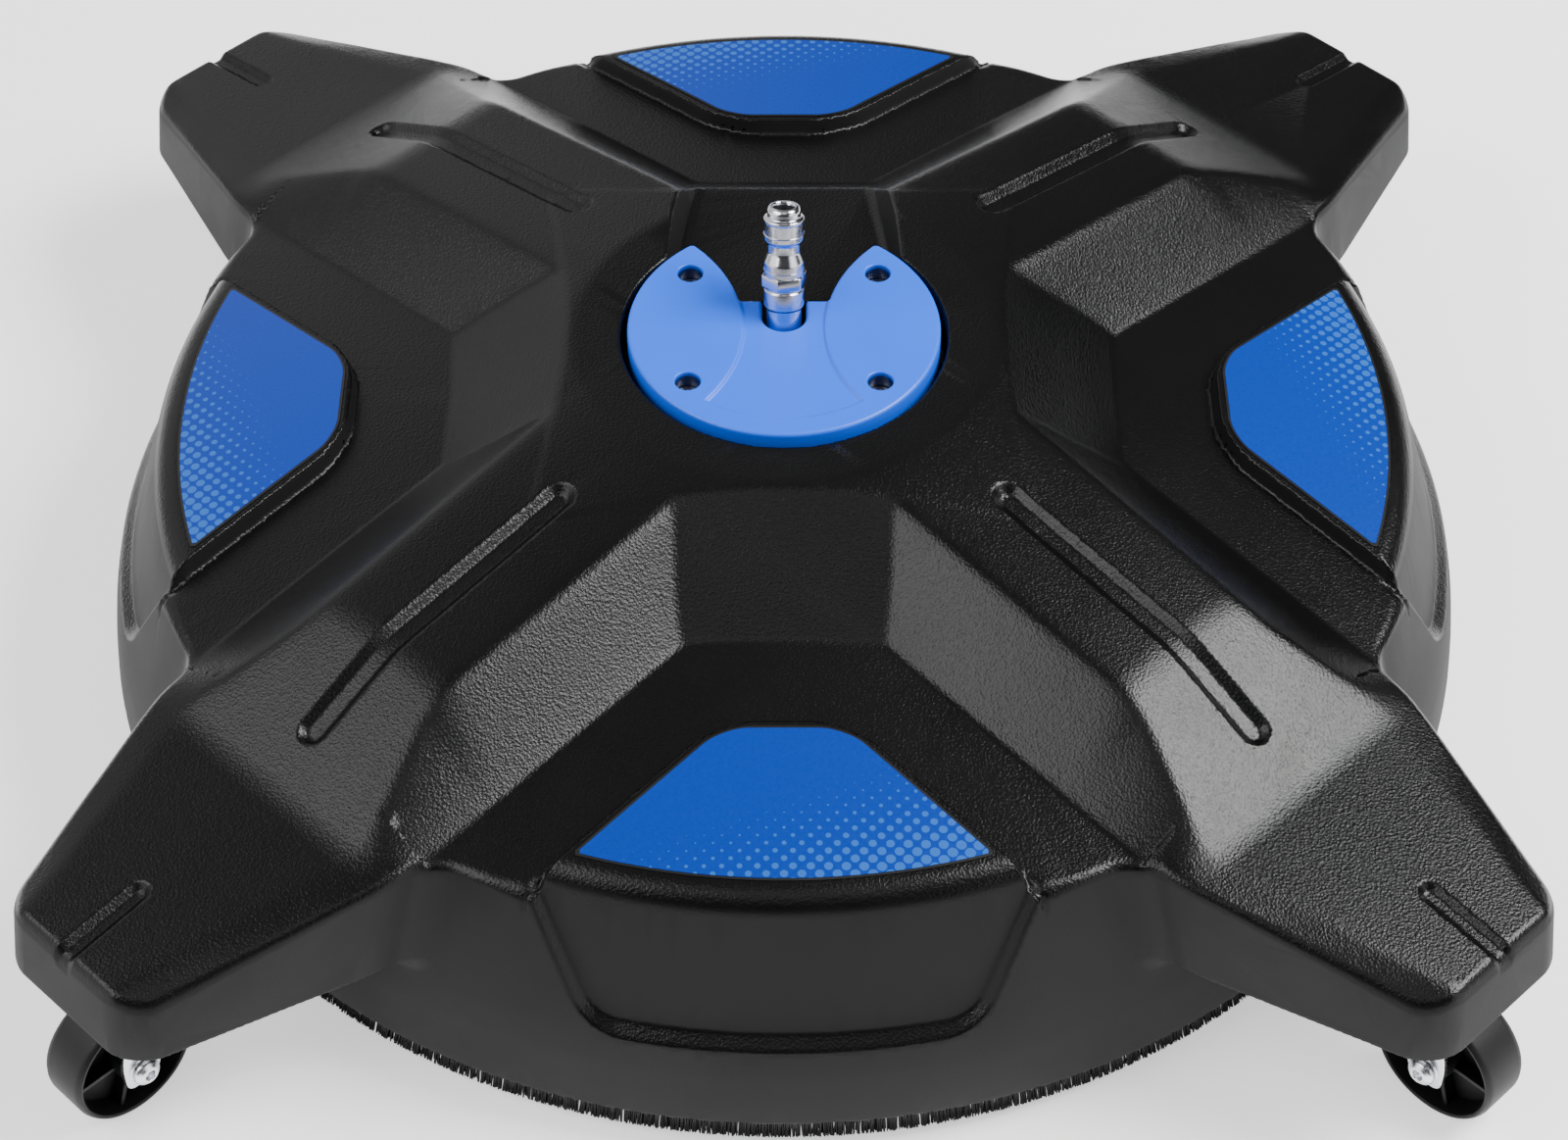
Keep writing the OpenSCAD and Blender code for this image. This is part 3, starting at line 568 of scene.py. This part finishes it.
def label_plate(grow, lift, thick, direction):
    """Vertices and faces of a curved plate in a label's outline, raised from its pad."""
    columns, half_span = [], 66
    for k in range(181):
        across = half_span * math.sin((k / 90 - 1) * math.pi / 2)
        span = label_outline(across, grow)
        if span:
            columns.append((across, *span))
    rows = 24
    turn = Matrix.Rotation(math.radians(direction), 3, "Z")
    vertices = []
    for depth in (0.0, thick):
        for across, near, far in columns:
            for j in range(rows + 1):
                out = near + (far - near) * j / rows
                z = deck_z(math.hypot(out, across)) + PAD_RISE + lift - depth
                vertices.append(tuple(turn @ Vector((out, across, z))))
    stride, count = rows + 1, len(columns)
    faces = []
    for k in range(count - 1):
        for j in range(rows):
            a = k * stride + j
            faces.append((a, a + 1, a + stride + 1, a + stride))
    rim = [(k * stride, (k + 1) * stride) for k in range(count - 1)]
    rim += [((count - 1) * stride + j, (count - 1) * stride + j + 1) for j in range(rows)]
    rim += [((k + 1) * stride + rows, k * stride + rows) for k in reversed(range(count - 1))]
    rim += [(j + 1, j) for j in reversed(range(rows))]
    below = count * stride
    faces += [(a, b, b + below, a + below) for a, b in rim]
    return vertices, faces


def make_label(side, direction):
    backing = label_plate(0.0, 0.32, 0.5, direction)
    face = label_plate(-0.75, 0.40, 0.2, direction)
    piece = made("label_sheet_" + side, joined(backing, face), smooth_angle=30)
    mesh = piece.data
    mesh.materials.append(MATERIALS["label_edge"])
    mesh.materials.append(MATERIALS["label"])
    flat = Matrix.Rotation(math.radians(-90 - direction), 3, "Z")
    plan = mesh.uv_layers.new(name="plan")
    split = len(backing[1])
    for index, polygon in enumerate(mesh.polygons):
        polygon.material_index = int(index >= split)
        for loop in polygon.loop_indices:
            spot = flat @ mesh.vertices[mesh.loops[loop].vertex_index].co
            plan.data[loop].uv = (spot.x / MM, spot.y / MM)
    attach(piece, "deck", "label", "label_" + side)


# ---------------------------------------------------------------- materials


def node_tree(name):
    """A new material, and a helper that adds a node with sockets set to values or joined to others."""
    material = bpy.data.materials.new(name)
    material.use_nodes = True
    tree = material.node_tree
    tree.nodes.clear()

    def add(kind, inputs=None, **settings):
        node = tree.nodes.new(kind)
        for key, value in settings.items():
            setattr(node, key, value)
        for key, value in (inputs or {}).items():
            socket = node.inputs[key]
            if isinstance(value, bpy.types.NodeSocket):
                tree.links.new(value, socket)
            else:
                socket.default_value = value
        return node

    return material, add


def calc(add, operation, first, second=0.0, third=0.0):
    return add("ShaderNodeMath", {0: first, 1: second, 2: third}, operation=operation).outputs[0]


def distance(add, x, y):
    return calc(add, "SQRT", calc(add, "MULTIPLY_ADD", x, x, calc(add, "MULTIPLY", y, y)))


def mapped(add, value, low, high, to_low, to_high):
    """value from low..high taken smoothly to to_low..to_high."""
    sockets = {0: value, 1: low, 2: high, 3: to_low, 4: to_high}
    return add("ShaderNodeMapRange", sockets, interpolation_type="SMOOTHSTEP").outputs[0]


def noise(add, vector, scale, detail=2.0, rough=0.5):
    sockets = {"Vector": vector, "Scale": scale, "Detail": detail, "Roughness": rough}
    return add("ShaderNodeTexNoise", sockets).outputs[0]


def place(add, stretch=(1, 1, 1)):
    """Object coordinates in metres, stretched along the axes."""
    here = add("ShaderNodeTexCoord").outputs["Object"]
    return add("ShaderNodeMapping", {"Vector": here, "Scale": stretch}).outputs[0]


def tinted(add, colour, amount, factor):
    """The colour made darker and lighter by amount as factor goes from 0 to 1."""
    share = calc(add, "MULTIPLY_ADD", factor, 2 * amount, 1 - amount)
    return add("ShaderNodeVectorMath", {0: colour, "Scale": share}, operation="SCALE").outputs[0]


def finish_material(material, add, colour, roughness, height, distance, **more):
    inputs = {"Base Color": colour, "Roughness": roughness}
    if height is not None:
        bump = add("ShaderNodeBump", {"Height": height, "Strength": 1.0, "Distance": distance})
        inputs["Normal"] = bump.outputs[0]
    inputs.update({key.replace("_", " "): value for key, value in more.items()})
    shader = add("ShaderNodeBsdfPrincipled", inputs)
    add("ShaderNodeOutputMaterial", {"Surface": shader.outputs[0]})
    return material


def leather_plastic(name, colour, roughness, grain):
    """Moulded black plastic: leather grain on the upper faces, and smoother, duller upright walls."""
    material, add = node_tree(name)
    here = place(add)
    cells = add("ShaderNodeTexVoronoi", {"Vector": here, "Scale": 1200.0}, feature="F1")
    pits = noise(add, here, 1500.0, 3.0, 0.65)
    broad = noise(add, here, 16.0, 3.0, 0.6)
    upward = add("ShaderNodeSeparateXYZ", {0: add("ShaderNodeTexCoord").outputs["Normal"]}).outputs[2]
    share = mapped(add, upward, 0.3, 0.7, 0.25, 1.0)
    height = calc(add, "MULTIPLY_ADD", cells.outputs["Distance"], 0.8, pits)
    height = calc(add, "MULTIPLY", height, share)
    duller = mapped(add, upward, 0.3, 0.7, roughness + 0.36, roughness)
    rough = calc(add, "ADD", mapped(add, broad, 0.35, 0.65, -0.02, 0.03), duller)
    rough = calc(add, "MULTIPLY_ADD", pits, 0.06, calc(add, "SUBTRACT", rough, 0.03))
    shade = tinted(add, colour, 0.18, pits)
    return finish_material(material, add, shade, rough, height, grain, Specular_IOR_Level=0.27)


def plain_plastic(name, colour, roughness, grain, scale=1600.0, specular=0.5):
    material, add = node_tree(name)
    here = place(add)
    fine = noise(add, here, scale, 3.0, 0.6)
    broad = noise(add, here, 30.0, 2.0, 0.5)
    rough = mapped(add, broad, 0.35, 0.65, roughness - 0.03, roughness + 0.04)
    shade = tinted(add, colour, 0.05, broad)
    return finish_material(material, add, shade, rough, fine, grain, Specular_IOR_Level=specular)


def cover_plastic(name, colour, roughness, grain):
    """Satin blue plastic, with painted shade down the screw holes."""
    material, add = node_tree(name)
    here = place(add)
    fine = noise(add, here, 1700.0, 3.0, 0.6)
    broad = noise(add, here, 30.0, 2.0, 0.5)
    spot = add("ShaderNodeSeparateXYZ", {0: here})
    x, y = [calc(add, "SUBTRACT", calc(add, "ABSOLUTE", spot.outputs[k]), COVER_SCREW[k] * MM)
            for k in (0, 1)]
    # Painted shade: the colour falls to 7 % inside each counterbore, from 0.4 mm to 2.2 mm under the
    # top.
    rim = COUNTERBORE_R + 0.2
    painted_shade_in_hole = mapped(add, distance(add, x, y), (rim - 0.1) * MM, (rim + 0.1) * MM, 1.0, 0.0)
    depth = mapped(add, spot.outputs[2], (COVER_TOP - 2.2) * MM, (COVER_TOP - 0.4) * MM, 1.0, 0.0)
    dim = calc(add, "MULTIPLY_ADD", calc(add, "MULTIPLY", painted_shade_in_hole, depth), -0.93, 1.0)
    shade = {0: tinted(add, colour, 0.04, broad), "Scale": dim}
    shade = add("ShaderNodeVectorMath", shade, operation="SCALE").outputs[0]
    rough = mapped(add, broad, 0.35, 0.65, roughness - 0.03, roughness + 0.04)
    return finish_material(material, add, shade, rough, fine, grain)


def metal(name, colour, roughness, stretch=(1, 1, 1)):
    """Plated or turned metal; stretch squeezes the fine scratches into lines."""
    material, add = node_tree(name)
    lines = noise(add, place(add, stretch), 2600.0, 4.0, 0.7)
    cloud = noise(add, place(add), 110.0, 3.0, 0.6)
    rough = calc(add, "MULTIPLY_ADD", cloud, 0.10, roughness - 0.11)
    rough = calc(add, "MULTIPLY_ADD", lines, 0.12, rough)
    shade = tinted(add, colour, 0.06, cloud)
    return finish_material(material, add, shade, rough, lines, 0.00002, Metallic=1.0)


DOT_PITCH = 3.4


def printed_label(name):
    """Blue satin print with a plain half-tone of lighter dots, larger toward one corner.

    The UV map holds millimetres across and out.
    """
    material, add = node_tree(name)
    spot = add("ShaderNodeSeparateXYZ", {0: add("ShaderNodeUVMap", uv_map="plan").outputs[0]})
    x, y = spot.outputs[0], spot.outputs[1]
    diagonal = DOT_PITCH * math.sqrt(2)
    cell = [calc(add, "DIVIDE", calc(add, step, x, y), diagonal) for step in ("ADD", "SUBTRACT")]
    from_middle = [calc(add, "SUBTRACT", calc(add, "FRACT", value), 0.5) for value in cell]
    growth = calc(add, "MULTIPLY_ADD", x, 0.010, calc(add, "MULTIPLY_ADD", y, -0.026, -3.95))
    size = mapped(add, growth, -0.05, 1.15, 0.0, 0.45)
    dot = mapped(add, calc(add, "SUBTRACT", size, distance(add, *from_middle)), -0.03, 0.03, 0.0, 1.0)
    print_grain = noise(add, place(add), 900.0, 2.0, 0.5)
    blue = tinted(add, (0.0, 0.03, 0.27), 0.03, print_grain)
    colours = {0: dot, 6: blue, 7: (0.015, 0.10, 0.40, 1)}
    colour = add("ShaderNodeMix", colours, data_type="RGBA").outputs[2]
    rough = mapped(add, print_grain, 0.35, 0.65, 0.27, 0.33)
    film = noise(add, place(add), 1500.0, 2.0, 0.5)
    return finish_material(material, add, colour, rough, film, 0.00001, Specular_IOR_Level=0.35)


def bristle_material(name):
    material, add = node_tree(name)
    streak = noise(add, place(add, (1, 1, 0.06)), 1400.0, 2.0, 0.6)
    rough = mapped(add, streak, 0.3, 0.7, 0.4, 0.6)
    shade = tinted(add, (0.012, 0.012, 0.013), 0.5, streak)
    return finish_material(material, add, shade, rough, streak, 0.00004)


MATERIALS = {
    "black_shell": leather_plastic("black_shell", (0.0024, 0.0024, 0.0025), 0.24, 0.0001),
    "blue_cover": cover_plastic("blue_cover", (0.001, 0.115, 0.86), 0.40, 0.00004),
    "label": printed_label("label"),
    "label_edge": plain_plastic("label_edge", (0.006, 0.006, 0.007), 0.35, 0.00002),
    "zinc": metal("zinc", (0.78, 0.79, 0.82), 0.26),
    "stainless": metal("stainless", (0.62, 0.63, 0.68), 0.17, (0.12, 0.12, 1.0)),
    # bore_steel is near-black metal; on the plug it is painted shade inside the bore.
    "bore_steel": metal("bore_steel", (0.05, 0.05, 0.055), 0.5),
    "bearing_steel": metal("bearing_steel", (0.62, 0.63, 0.65), 0.15),
    "brass": metal("brass", (0.74, 0.52, 0.21), 0.28),
    "seal_rubber": plain_plastic("seal_rubber", (0.014, 0.014, 0.014), 0.55, 0.00005),
    "carrier_plastic": plain_plastic("carrier_plastic", (0.012, 0.012, 0.013), 0.45, 0.00006),
    "bristles": bristle_material("bristles"),
    "wheel_plastic": plain_plastic("wheel_plastic", (0.0035, 0.0035, 0.0037), 0.48, 0.00004, 1200.0,
                                   0.27),
}


def paint(piece, name):
    piece.data.materials.clear()
    piece.data.materials.append(MATERIALS[name])


# ---------------------------------------------------------------- pieces


def make_housing():
    piece = moulded("deck_shell", housing_field, (-217, -217, 10), (217, 217, 123), 1.2, 190000)
    paint(piece, "black_shell")
    attach(piece, "deck", "black_shell", "deck_housing")


def make_cover():
    piece = moulded("cover_skin", cover_field, (-48, -48, 107), (48, 48, 125), 0.5, 60000)
    paint(piece, "blue_cover")
    attach(piece, "deck", "blue_cover", "hub_cover")


INLET_LEAN = math.radians(18)
INLET_PIVOT = Vector((0, 0.6, 105))
PLUG_BORE_R = 3.1


def hexagon(radius, start=0):
    angles = [math.radians(60 * k + start) for k in range(6)]
    return [(radius * math.cos(a), radius * math.sin(a)) for a in angles]


def make_plug():
    """Quick-connect plug, drawn upright on its own axis and leaned to the rear."""
    profile = rounded([
        (3.0, 8), (5.2, 8), (5.2, 20.6), (6.0, 21.6), (6.0, 26.6), (5.6, 26.9), (5.6, 27.6),
        (6.0, 27.9), (6.0, 35.6), (4.75, 38.6), (4.75, 41.6), (5.85, 42.6), (5.85, 48.3),
        (6.05, 48.6), (6.05, 49.4), (5.0, 49.8), (5.0, 51.8), (4.4, 52.9), (3.5, 53.1),
        (PLUG_BORE_R, 52.0),
    ], 0.45)
    nut = prism(rounded(hexagon(6.95, 15), 0.5, closed=True), 27.9, 31.6, 0.35)
    shapes = [lathe(profile), nut]
    for ridge_z in (33.0, 44.2):
        ridge = rounded([(5.8, 0), (6.12, 0.05), (6.12, 0.3), (5.8, 0.35)], 0.1, 2)
        shapes.append(moved(lathe(ridge), Matrix.Translation((0, 0, ridge_z))))
    matrix = Matrix.Translation(INLET_PIVOT) @ Matrix.Rotation(-INLET_LEAN, 4, "X")
    piece = made("plug_turned", joined(*shapes), matrix, smooth_angle=32)
    paint(piece, "stainless")
    # Painted shade: the faces inside the bore take the near-black bore_steel instead of stainless.
    piece.data.materials.append(MATERIALS["bore_steel"])
    upright = matrix.inverted()
    for polygon in piece.data.polygons:
        spot = upright @ (polygon.center / MM)
        polygon.material_index = int(math.hypot(spot.x, spot.y) < PLUG_BORE_R + 0.05)
    attach(piece, "inlet", "stainless", "inlet_plug")


WHEEL_R, WHEEL_HALF = 20.0, 8.0
# Places of the axle and the swivel along the arm, and the fork legs' inside half width and thickness
WHEEL_S, SWIVEL_S = 264.0, 247.0
LEG_IN, LEG_T = 9.1, 1.8


def arm_frame(direction, along):
    """Axes of an arm: X outward, Y across, from a place along it."""
    return Matrix.Rotation(math.radians(direction), 4, "Z") @ Matrix.Translation((along, 0, 0))


def axle_frame(direction, turn):
    """Frame at a wheel's middle, turned so that Z lies along the axle."""
    up = Matrix.Translation((0, 0, WHEEL_R))
    return arm_frame(direction, WHEEL_S) @ up @ Matrix.Rotation(turn, 4, "X")


def make_wheel(side, direction):
    """Wide wheel with a thin rim, a deep dish on each side, five ribs and a long hub."""
    half, rim = WHEEL_HALF, WHEEL_R - 1.9
    tyre = rounded([(rim, -half + 0.3), (WHEEL_R - 0.9, -half), (WHEEL_R, -half + 1.6),
                    (WHEEL_R, half - 1.6), (WHEEL_R - 0.9, half), (rim, half - 0.3),
                    (rim - 0.7, 1.2), (rim - 0.7, -1.2)], 0.8, closed=True)
    hub = rounded([(3.0, -half - 0.5), (5.6, -half - 0.5), (6.4, -1.2), (6.4, 1.2),
                   (5.6, half + 0.5), (3.0, half + 0.5)], 0.5, closed=True)
    web = [(5.8, -1.0), (rim, -1.0), (rim, 1.0), (5.8, 1.0)]
    rib = [(5.4, -0.7), (rim - 0.2, -0.7), (rim - 0.2, 0.7), (5.4, 0.7)]
    rib = prism(rib, -half + 2.6, half - 2.6, 0.25)
    shapes = [lathe(tyre, 128), lathe(hub, 64), lathe(web, 64)]
    shapes += [moved(rib, Matrix.Rotation(math.tau * k / 5, 4, "Z")) for k in range(5)]
    matrix = axle_frame(direction, math.pi / 2)
    piece = made("wheel_dished_" + side, joined(*shapes), matrix, smooth_angle=35)
    paint(piece, "wheel_plastic")
    attach(piece, "wheel_" + side, "wheel_plastic", "caster_wheel_" + side)


def make_fork(side, direction):
    """Bent plate fork: round crown, two tapered legs with a boss pressed round the axle."""
    trail, axle_z, crown = WHEEL_S - SWIVEL_S, WHEEL_R, 40.6
    leg = rounded([(-11, crown + 1.4), (trail + 2, crown + 1.4), (trail + 6.2, axle_z + 5),
                   (trail + 5.8, axle_z - 5.8), (trail - 4.6, axle_z - 5.8),
                   (trail - 7.2, axle_z + 2)], 3.6, closed=True)
    leg = prism(leg[::-1], -LEG_T / 2, LEG_T / 2, 0.35)
    boss = [(2.98, -0.9), (5.2, -0.9), (5.2, 0.3), (4.2, 1.25), (2.98, 1.25)]
    boss = lathe(rounded(boss, 0.5, closed=True), 48)
    shapes = []
    upright = Matrix.Rotation(math.pi / 2, 4, "X")
    for turn in (1, -1):
        matrix = Matrix.Translation((0, -turn * (LEG_IN + LEG_T / 2), 0)) @ upright
        shapes.append(moved(leg, matrix))
        at_axle = Matrix.Translation((trail, axle_z, 0)) @ Matrix.Scale(turn, 4, (0, 0, 1))
        shapes.append(moved(boss, matrix @ at_axle))
    reach = LEG_IN + LEG_T
    deck = [(-13, -reach), (trail - 2, -reach), (trail - 2, reach), (-13, reach)]
    shapes.append(prism(rounded(deck, 4, closed=True), crown, crown + 1.8, 0.4))
    cup = [(4.0, 0.2), (14.6, 0.2), (14.6, 1.9), (13.6, 3.3), (12.7, 3.3), (11.6, 2.0), (4.0, 2.0)]
    cup = lathe(rounded(cup, 0.5, closed=True))
    shapes.append(moved(cup, Matrix.Translation((0, 0, crown))))
    matrix = arm_frame(direction, SWIVEL_S)
    piece = made("fork_pressed_" + side, joined(*shapes), matrix, smooth_angle=35)
    paint(piece, "zinc")
    attach(piece, "caster_" + side, "zinc", "caster_fork_" + side)


def make_axle(side, direction):
    """Axle bolt: domed socket head on the side that faces the front or rear, nut on the other."""
    end = LEG_IN + LEG_T + 0.6
    bolt = rounded([(1.6, end + 1.1), (1.6, end + 3.0), (2.6, end + 3.0), (4.1, end + 1.7),
                    (4.4, end + 0.5), (3.5, end + 0.3), (3.5, end), (2.9, end),
                    (2.9, -end - 3.8), (0.01, -end - 3.8), (0.01, end + 1.1)], 0.5, closed=True)
    nut = prism(rounded(hexagon(4.9), 0.5, closed=True), -end - 3.0, -end, 0.5)
    turn = math.pi / 2 if side in ("front_right", "rear_left") else -math.pi / 2
    matrix = axle_frame(direction, turn)
    piece = made("axle_bolt_" + side, joined(lathe(bolt, 64), nut), matrix, smooth_angle=35)
    paint(piece, "zinc")
    attach(piece, "caster_" + side, "zinc", "caster_axle_" + side)


def make_bristles():
    """Loose filaments under the wall, splayed outward below a bend, with slightly uneven tips."""
    random = np.random.default_rng(7)
    box_low, box_high = box_mm("bristle_skirt")
    low, top, bend_z, middle = box_low.z, 24, 19.0, 201.2
    # The ring's outer radius above the bend is 202.1
    splay = box_high.x - 202.1
    count = 11000
    sides, levels = 3, np.array([0.0, 0.45, 0.8, 1.0])
    angle = (np.arange(count) + random.uniform(-0.8, 0.8, count)) / count * math.tau * 3
    root = middle + random.uniform(-0.75, 0.75, count)
    lean_out = np.clip(random.normal(0.0, 0.4, count), 200.5 - root, 201.75 - root)
    lean_round = random.normal(0.0, 0.6, count)
    tip = low + np.abs(random.normal(0.0, 0.14, count)) + random.uniform(0, 0.1, count)
    thick = random.uniform(0.25, 0.33, count)
    vertices = np.zeros((count, len(levels), sides, 3))
    for j, level in enumerate(levels):
        bend = level**2
        z = top + (tip - top) * level
        turn = angle + lean_round * bend / middle
        radius = root + lean_out * bend + splay * np.clip((bend_z - z) / (bend_z - low), 0, 1)
        for k in range(sides):
            spread = thick * (1 - 0.15 * level)
            swing = turn + math.tau * k / sides
            vertices[:, j, k, 0] = radius * np.cos(turn) + spread * np.cos(swing)
            vertices[:, j, k, 1] = radius * np.sin(turn) + spread * np.sin(swing)
            vertices[:, j, k, 2] = z
    index = np.arange(count * len(levels) * sides).reshape(count, len(levels), sides)
    after = np.roll(index, -1, axis=2)
    walls = np.stack([index[:, :-1], after[:, :-1], after[:, 1:], index[:, 1:]], axis=-1).reshape(-1, 4)
    ends = index[:, -1].reshape(-1, 3)
    faces = [tuple(reversed(face)) for face in walls.tolist()] + [tuple(face) for face in ends.tolist()]
    mesh = mesh_from("bristle_filaments", vertices.reshape(-1, 3), faces)
    piece = add_object("bristle_filaments", mesh)
    piece.data.shade_smooth()
    paint(piece, "bristles")
    attach(piece, "deck", "bristles", "bristle_skirt")


def dress_cad_nodes():
    """Materials for the CAD nodes, and small rounded edges on the hard ones."""
    for part in frame["record"]["subparts"]:
        node = frame["nodes"][part["node"]]
        slot = part["material_slot"]
        node.data.materials.clear()
        node.data.materials.append(MATERIALS[slot])
        if slot in ("zinc", "brass", "stainless", "carrier_plastic") and "balls" not in part["node"]:
            weld = node.modifiers.new("weld", "WELD")
            weld.merge_threshold = 0.000002
            soften(node, 0.25)


dress_cad_nodes()
make_housing()
make_cover()
for side, direction in SECTORS.items():
    make_label(side, direction)
make_plug()
for side, direction in ARMS.items():
    make_wheel(side, direction)
    make_fork(side, direction)
    make_axle(side, direction)
make_bristles()

# ---------------------------------------------------------------- floor and light


def area_light(name, at, aim, width, height, watts):
    data = bpy.data.lights.new(name, "AREA")
    data.shape = "RECTANGLE"
    data.size, data.size_y = width, height
    data.energy = watts
    lamp = bpy.data.objects.new(name, data)
    lamp.location = at
    lamp.rotation_euler = (Vector(aim) - Vector(at)).to_track_quat("-Z", "Y").to_euler()
    bpy.context.scene.collection.objects.link(lamp)


def make_floor():
    """White disc with a painted glow round the machine, though it is no lamp, and painted shade that
    greys it outward.
    """
    corners, radius = 64, 8000
    angles = [math.tau * k / corners for k in range(corners)]
    outline = [(math.cos(a) * radius, math.sin(a) * radius, 0) for a in angles]
    floor = add_object("floor", mesh_from("floor", outline, [tuple(range(corners))]))
    material, add = node_tree("floor_white")
    from_middle = add("ShaderNodeVectorMath", {0: place(add), 1: (0, 0.12, 0)}, operation="SUBTRACT")
    far = add("ShaderNodeVectorMath", {0: from_middle.outputs[0]}, operation="LENGTH").outputs[1]
    # Painted shade: the floor colour greys from 0.88 to 0.5 between 0.42 m and 1 m out from the
    # machine.
    painted_falloff_shade = mapped(add, far, 0.42, 1.0, 0.88, 0.5)
    tone = calc(add, "MULTIPLY", painted_falloff_shade, mapped(add, noise(add, place(add), 3.0), 0.3, 0.7, 0.99, 1.01))
    colour = add("ShaderNodeCombineColor", {0: tone, 1: tone, 2: tone}).outputs[0]
    # Painted glow: the floor emits light, 0.85 within 0.4 m of the machine, fading to 0.04 by 0.75 m.
    glow = mapped(add, far, 0.40, 0.75, 0.85, 0.04)
    finish_material(material, add, colour, 0.8, None, 0, Emission_Color=(1, 1, 1, 1),
                    Emission_Strength=glow)
    floor.data.materials.append(material)


def toward(azimuth, elevation):
    """Unit vector by azimuth (0 is the rear, +Y; 90 the right, +X) and elevation over the horizon."""
    a, e = math.radians(azimuth), math.radians(elevation)
    return Vector((math.sin(a) * math.cos(e), math.cos(a) * math.cos(e), math.sin(e)))


# Soft glows in the surroundings
GLOWS = [
    # azimuth, elevation, full within and gone beyond these angles, strength
    (-110, 14, 8, 34, 1.9),
    (118, 16, 6, 30, 2.2),
    (-45, 10, 22, 52, 0.8),
    (178, 66, 4, 24, 1.0),
    (-10, 48, 15, 45, 0.2),
]


def make_world():
    """Studio surroundings: a dim room with a few broad soft glows."""
    world = bpy.data.worlds.new("studio")
    world.use_nodes = True
    tree = world.node_tree

    def link(kind, inputs, output=0, **settings):
        node = tree.nodes.new(kind)
        for key, value in settings.items():
            setattr(node, key, value)
        for key, value in inputs.items():
            if isinstance(value, bpy.types.NodeSocket):
                tree.links.new(value, node.inputs[key])
            else:
                node.inputs[key].default_value = value
        return node.outputs[output]

    direction = tree.nodes.new("ShaderNodeTexCoord").outputs["Generated"]
    level = 0.05
    for azimuth, elevation, inner, outer, strength in GLOWS:
        sockets = {0: direction, 1: toward(azimuth, elevation)}
        facing = link("ShaderNodeVectorMath", sockets, "Value", operation="DOT_PRODUCT")
        edge, full = math.cos(math.radians(outer)), math.cos(math.radians(inner))
        sockets = {0: facing, 1: edge, 2: full, 3: 0.0, 4: strength}
        glow = link("ShaderNodeMapRange", sockets, interpolation_type="SMOOTHSTEP")
        level = link("ShaderNodeMath", {0: glow, 1: level}, operation="ADD")
    tree.links.new(level, tree.nodes["Background"].inputs["Strength"])
    tree.nodes["Background"].inputs["Color"].default_value = (1, 1, 1, 1)
    bpy.context.scene.world = world


def softbox(name, azimuth, elevation, width, height, radiance):
    """Area light 1.8 m away, aimed at the machine; the size is in metres."""
    watts = radiance * math.pi * width * height
    area_light(name, toward(azimuth, elevation) * 1.8, (0, 0, 0.08), width, height, watts)


make_floor()
make_world()
softbox("right_softbox", 89, 52, 0.98, 0.8, 24.0)
softbox("left_softbox", -110, 48, 1.5, 0.85, 5.5)
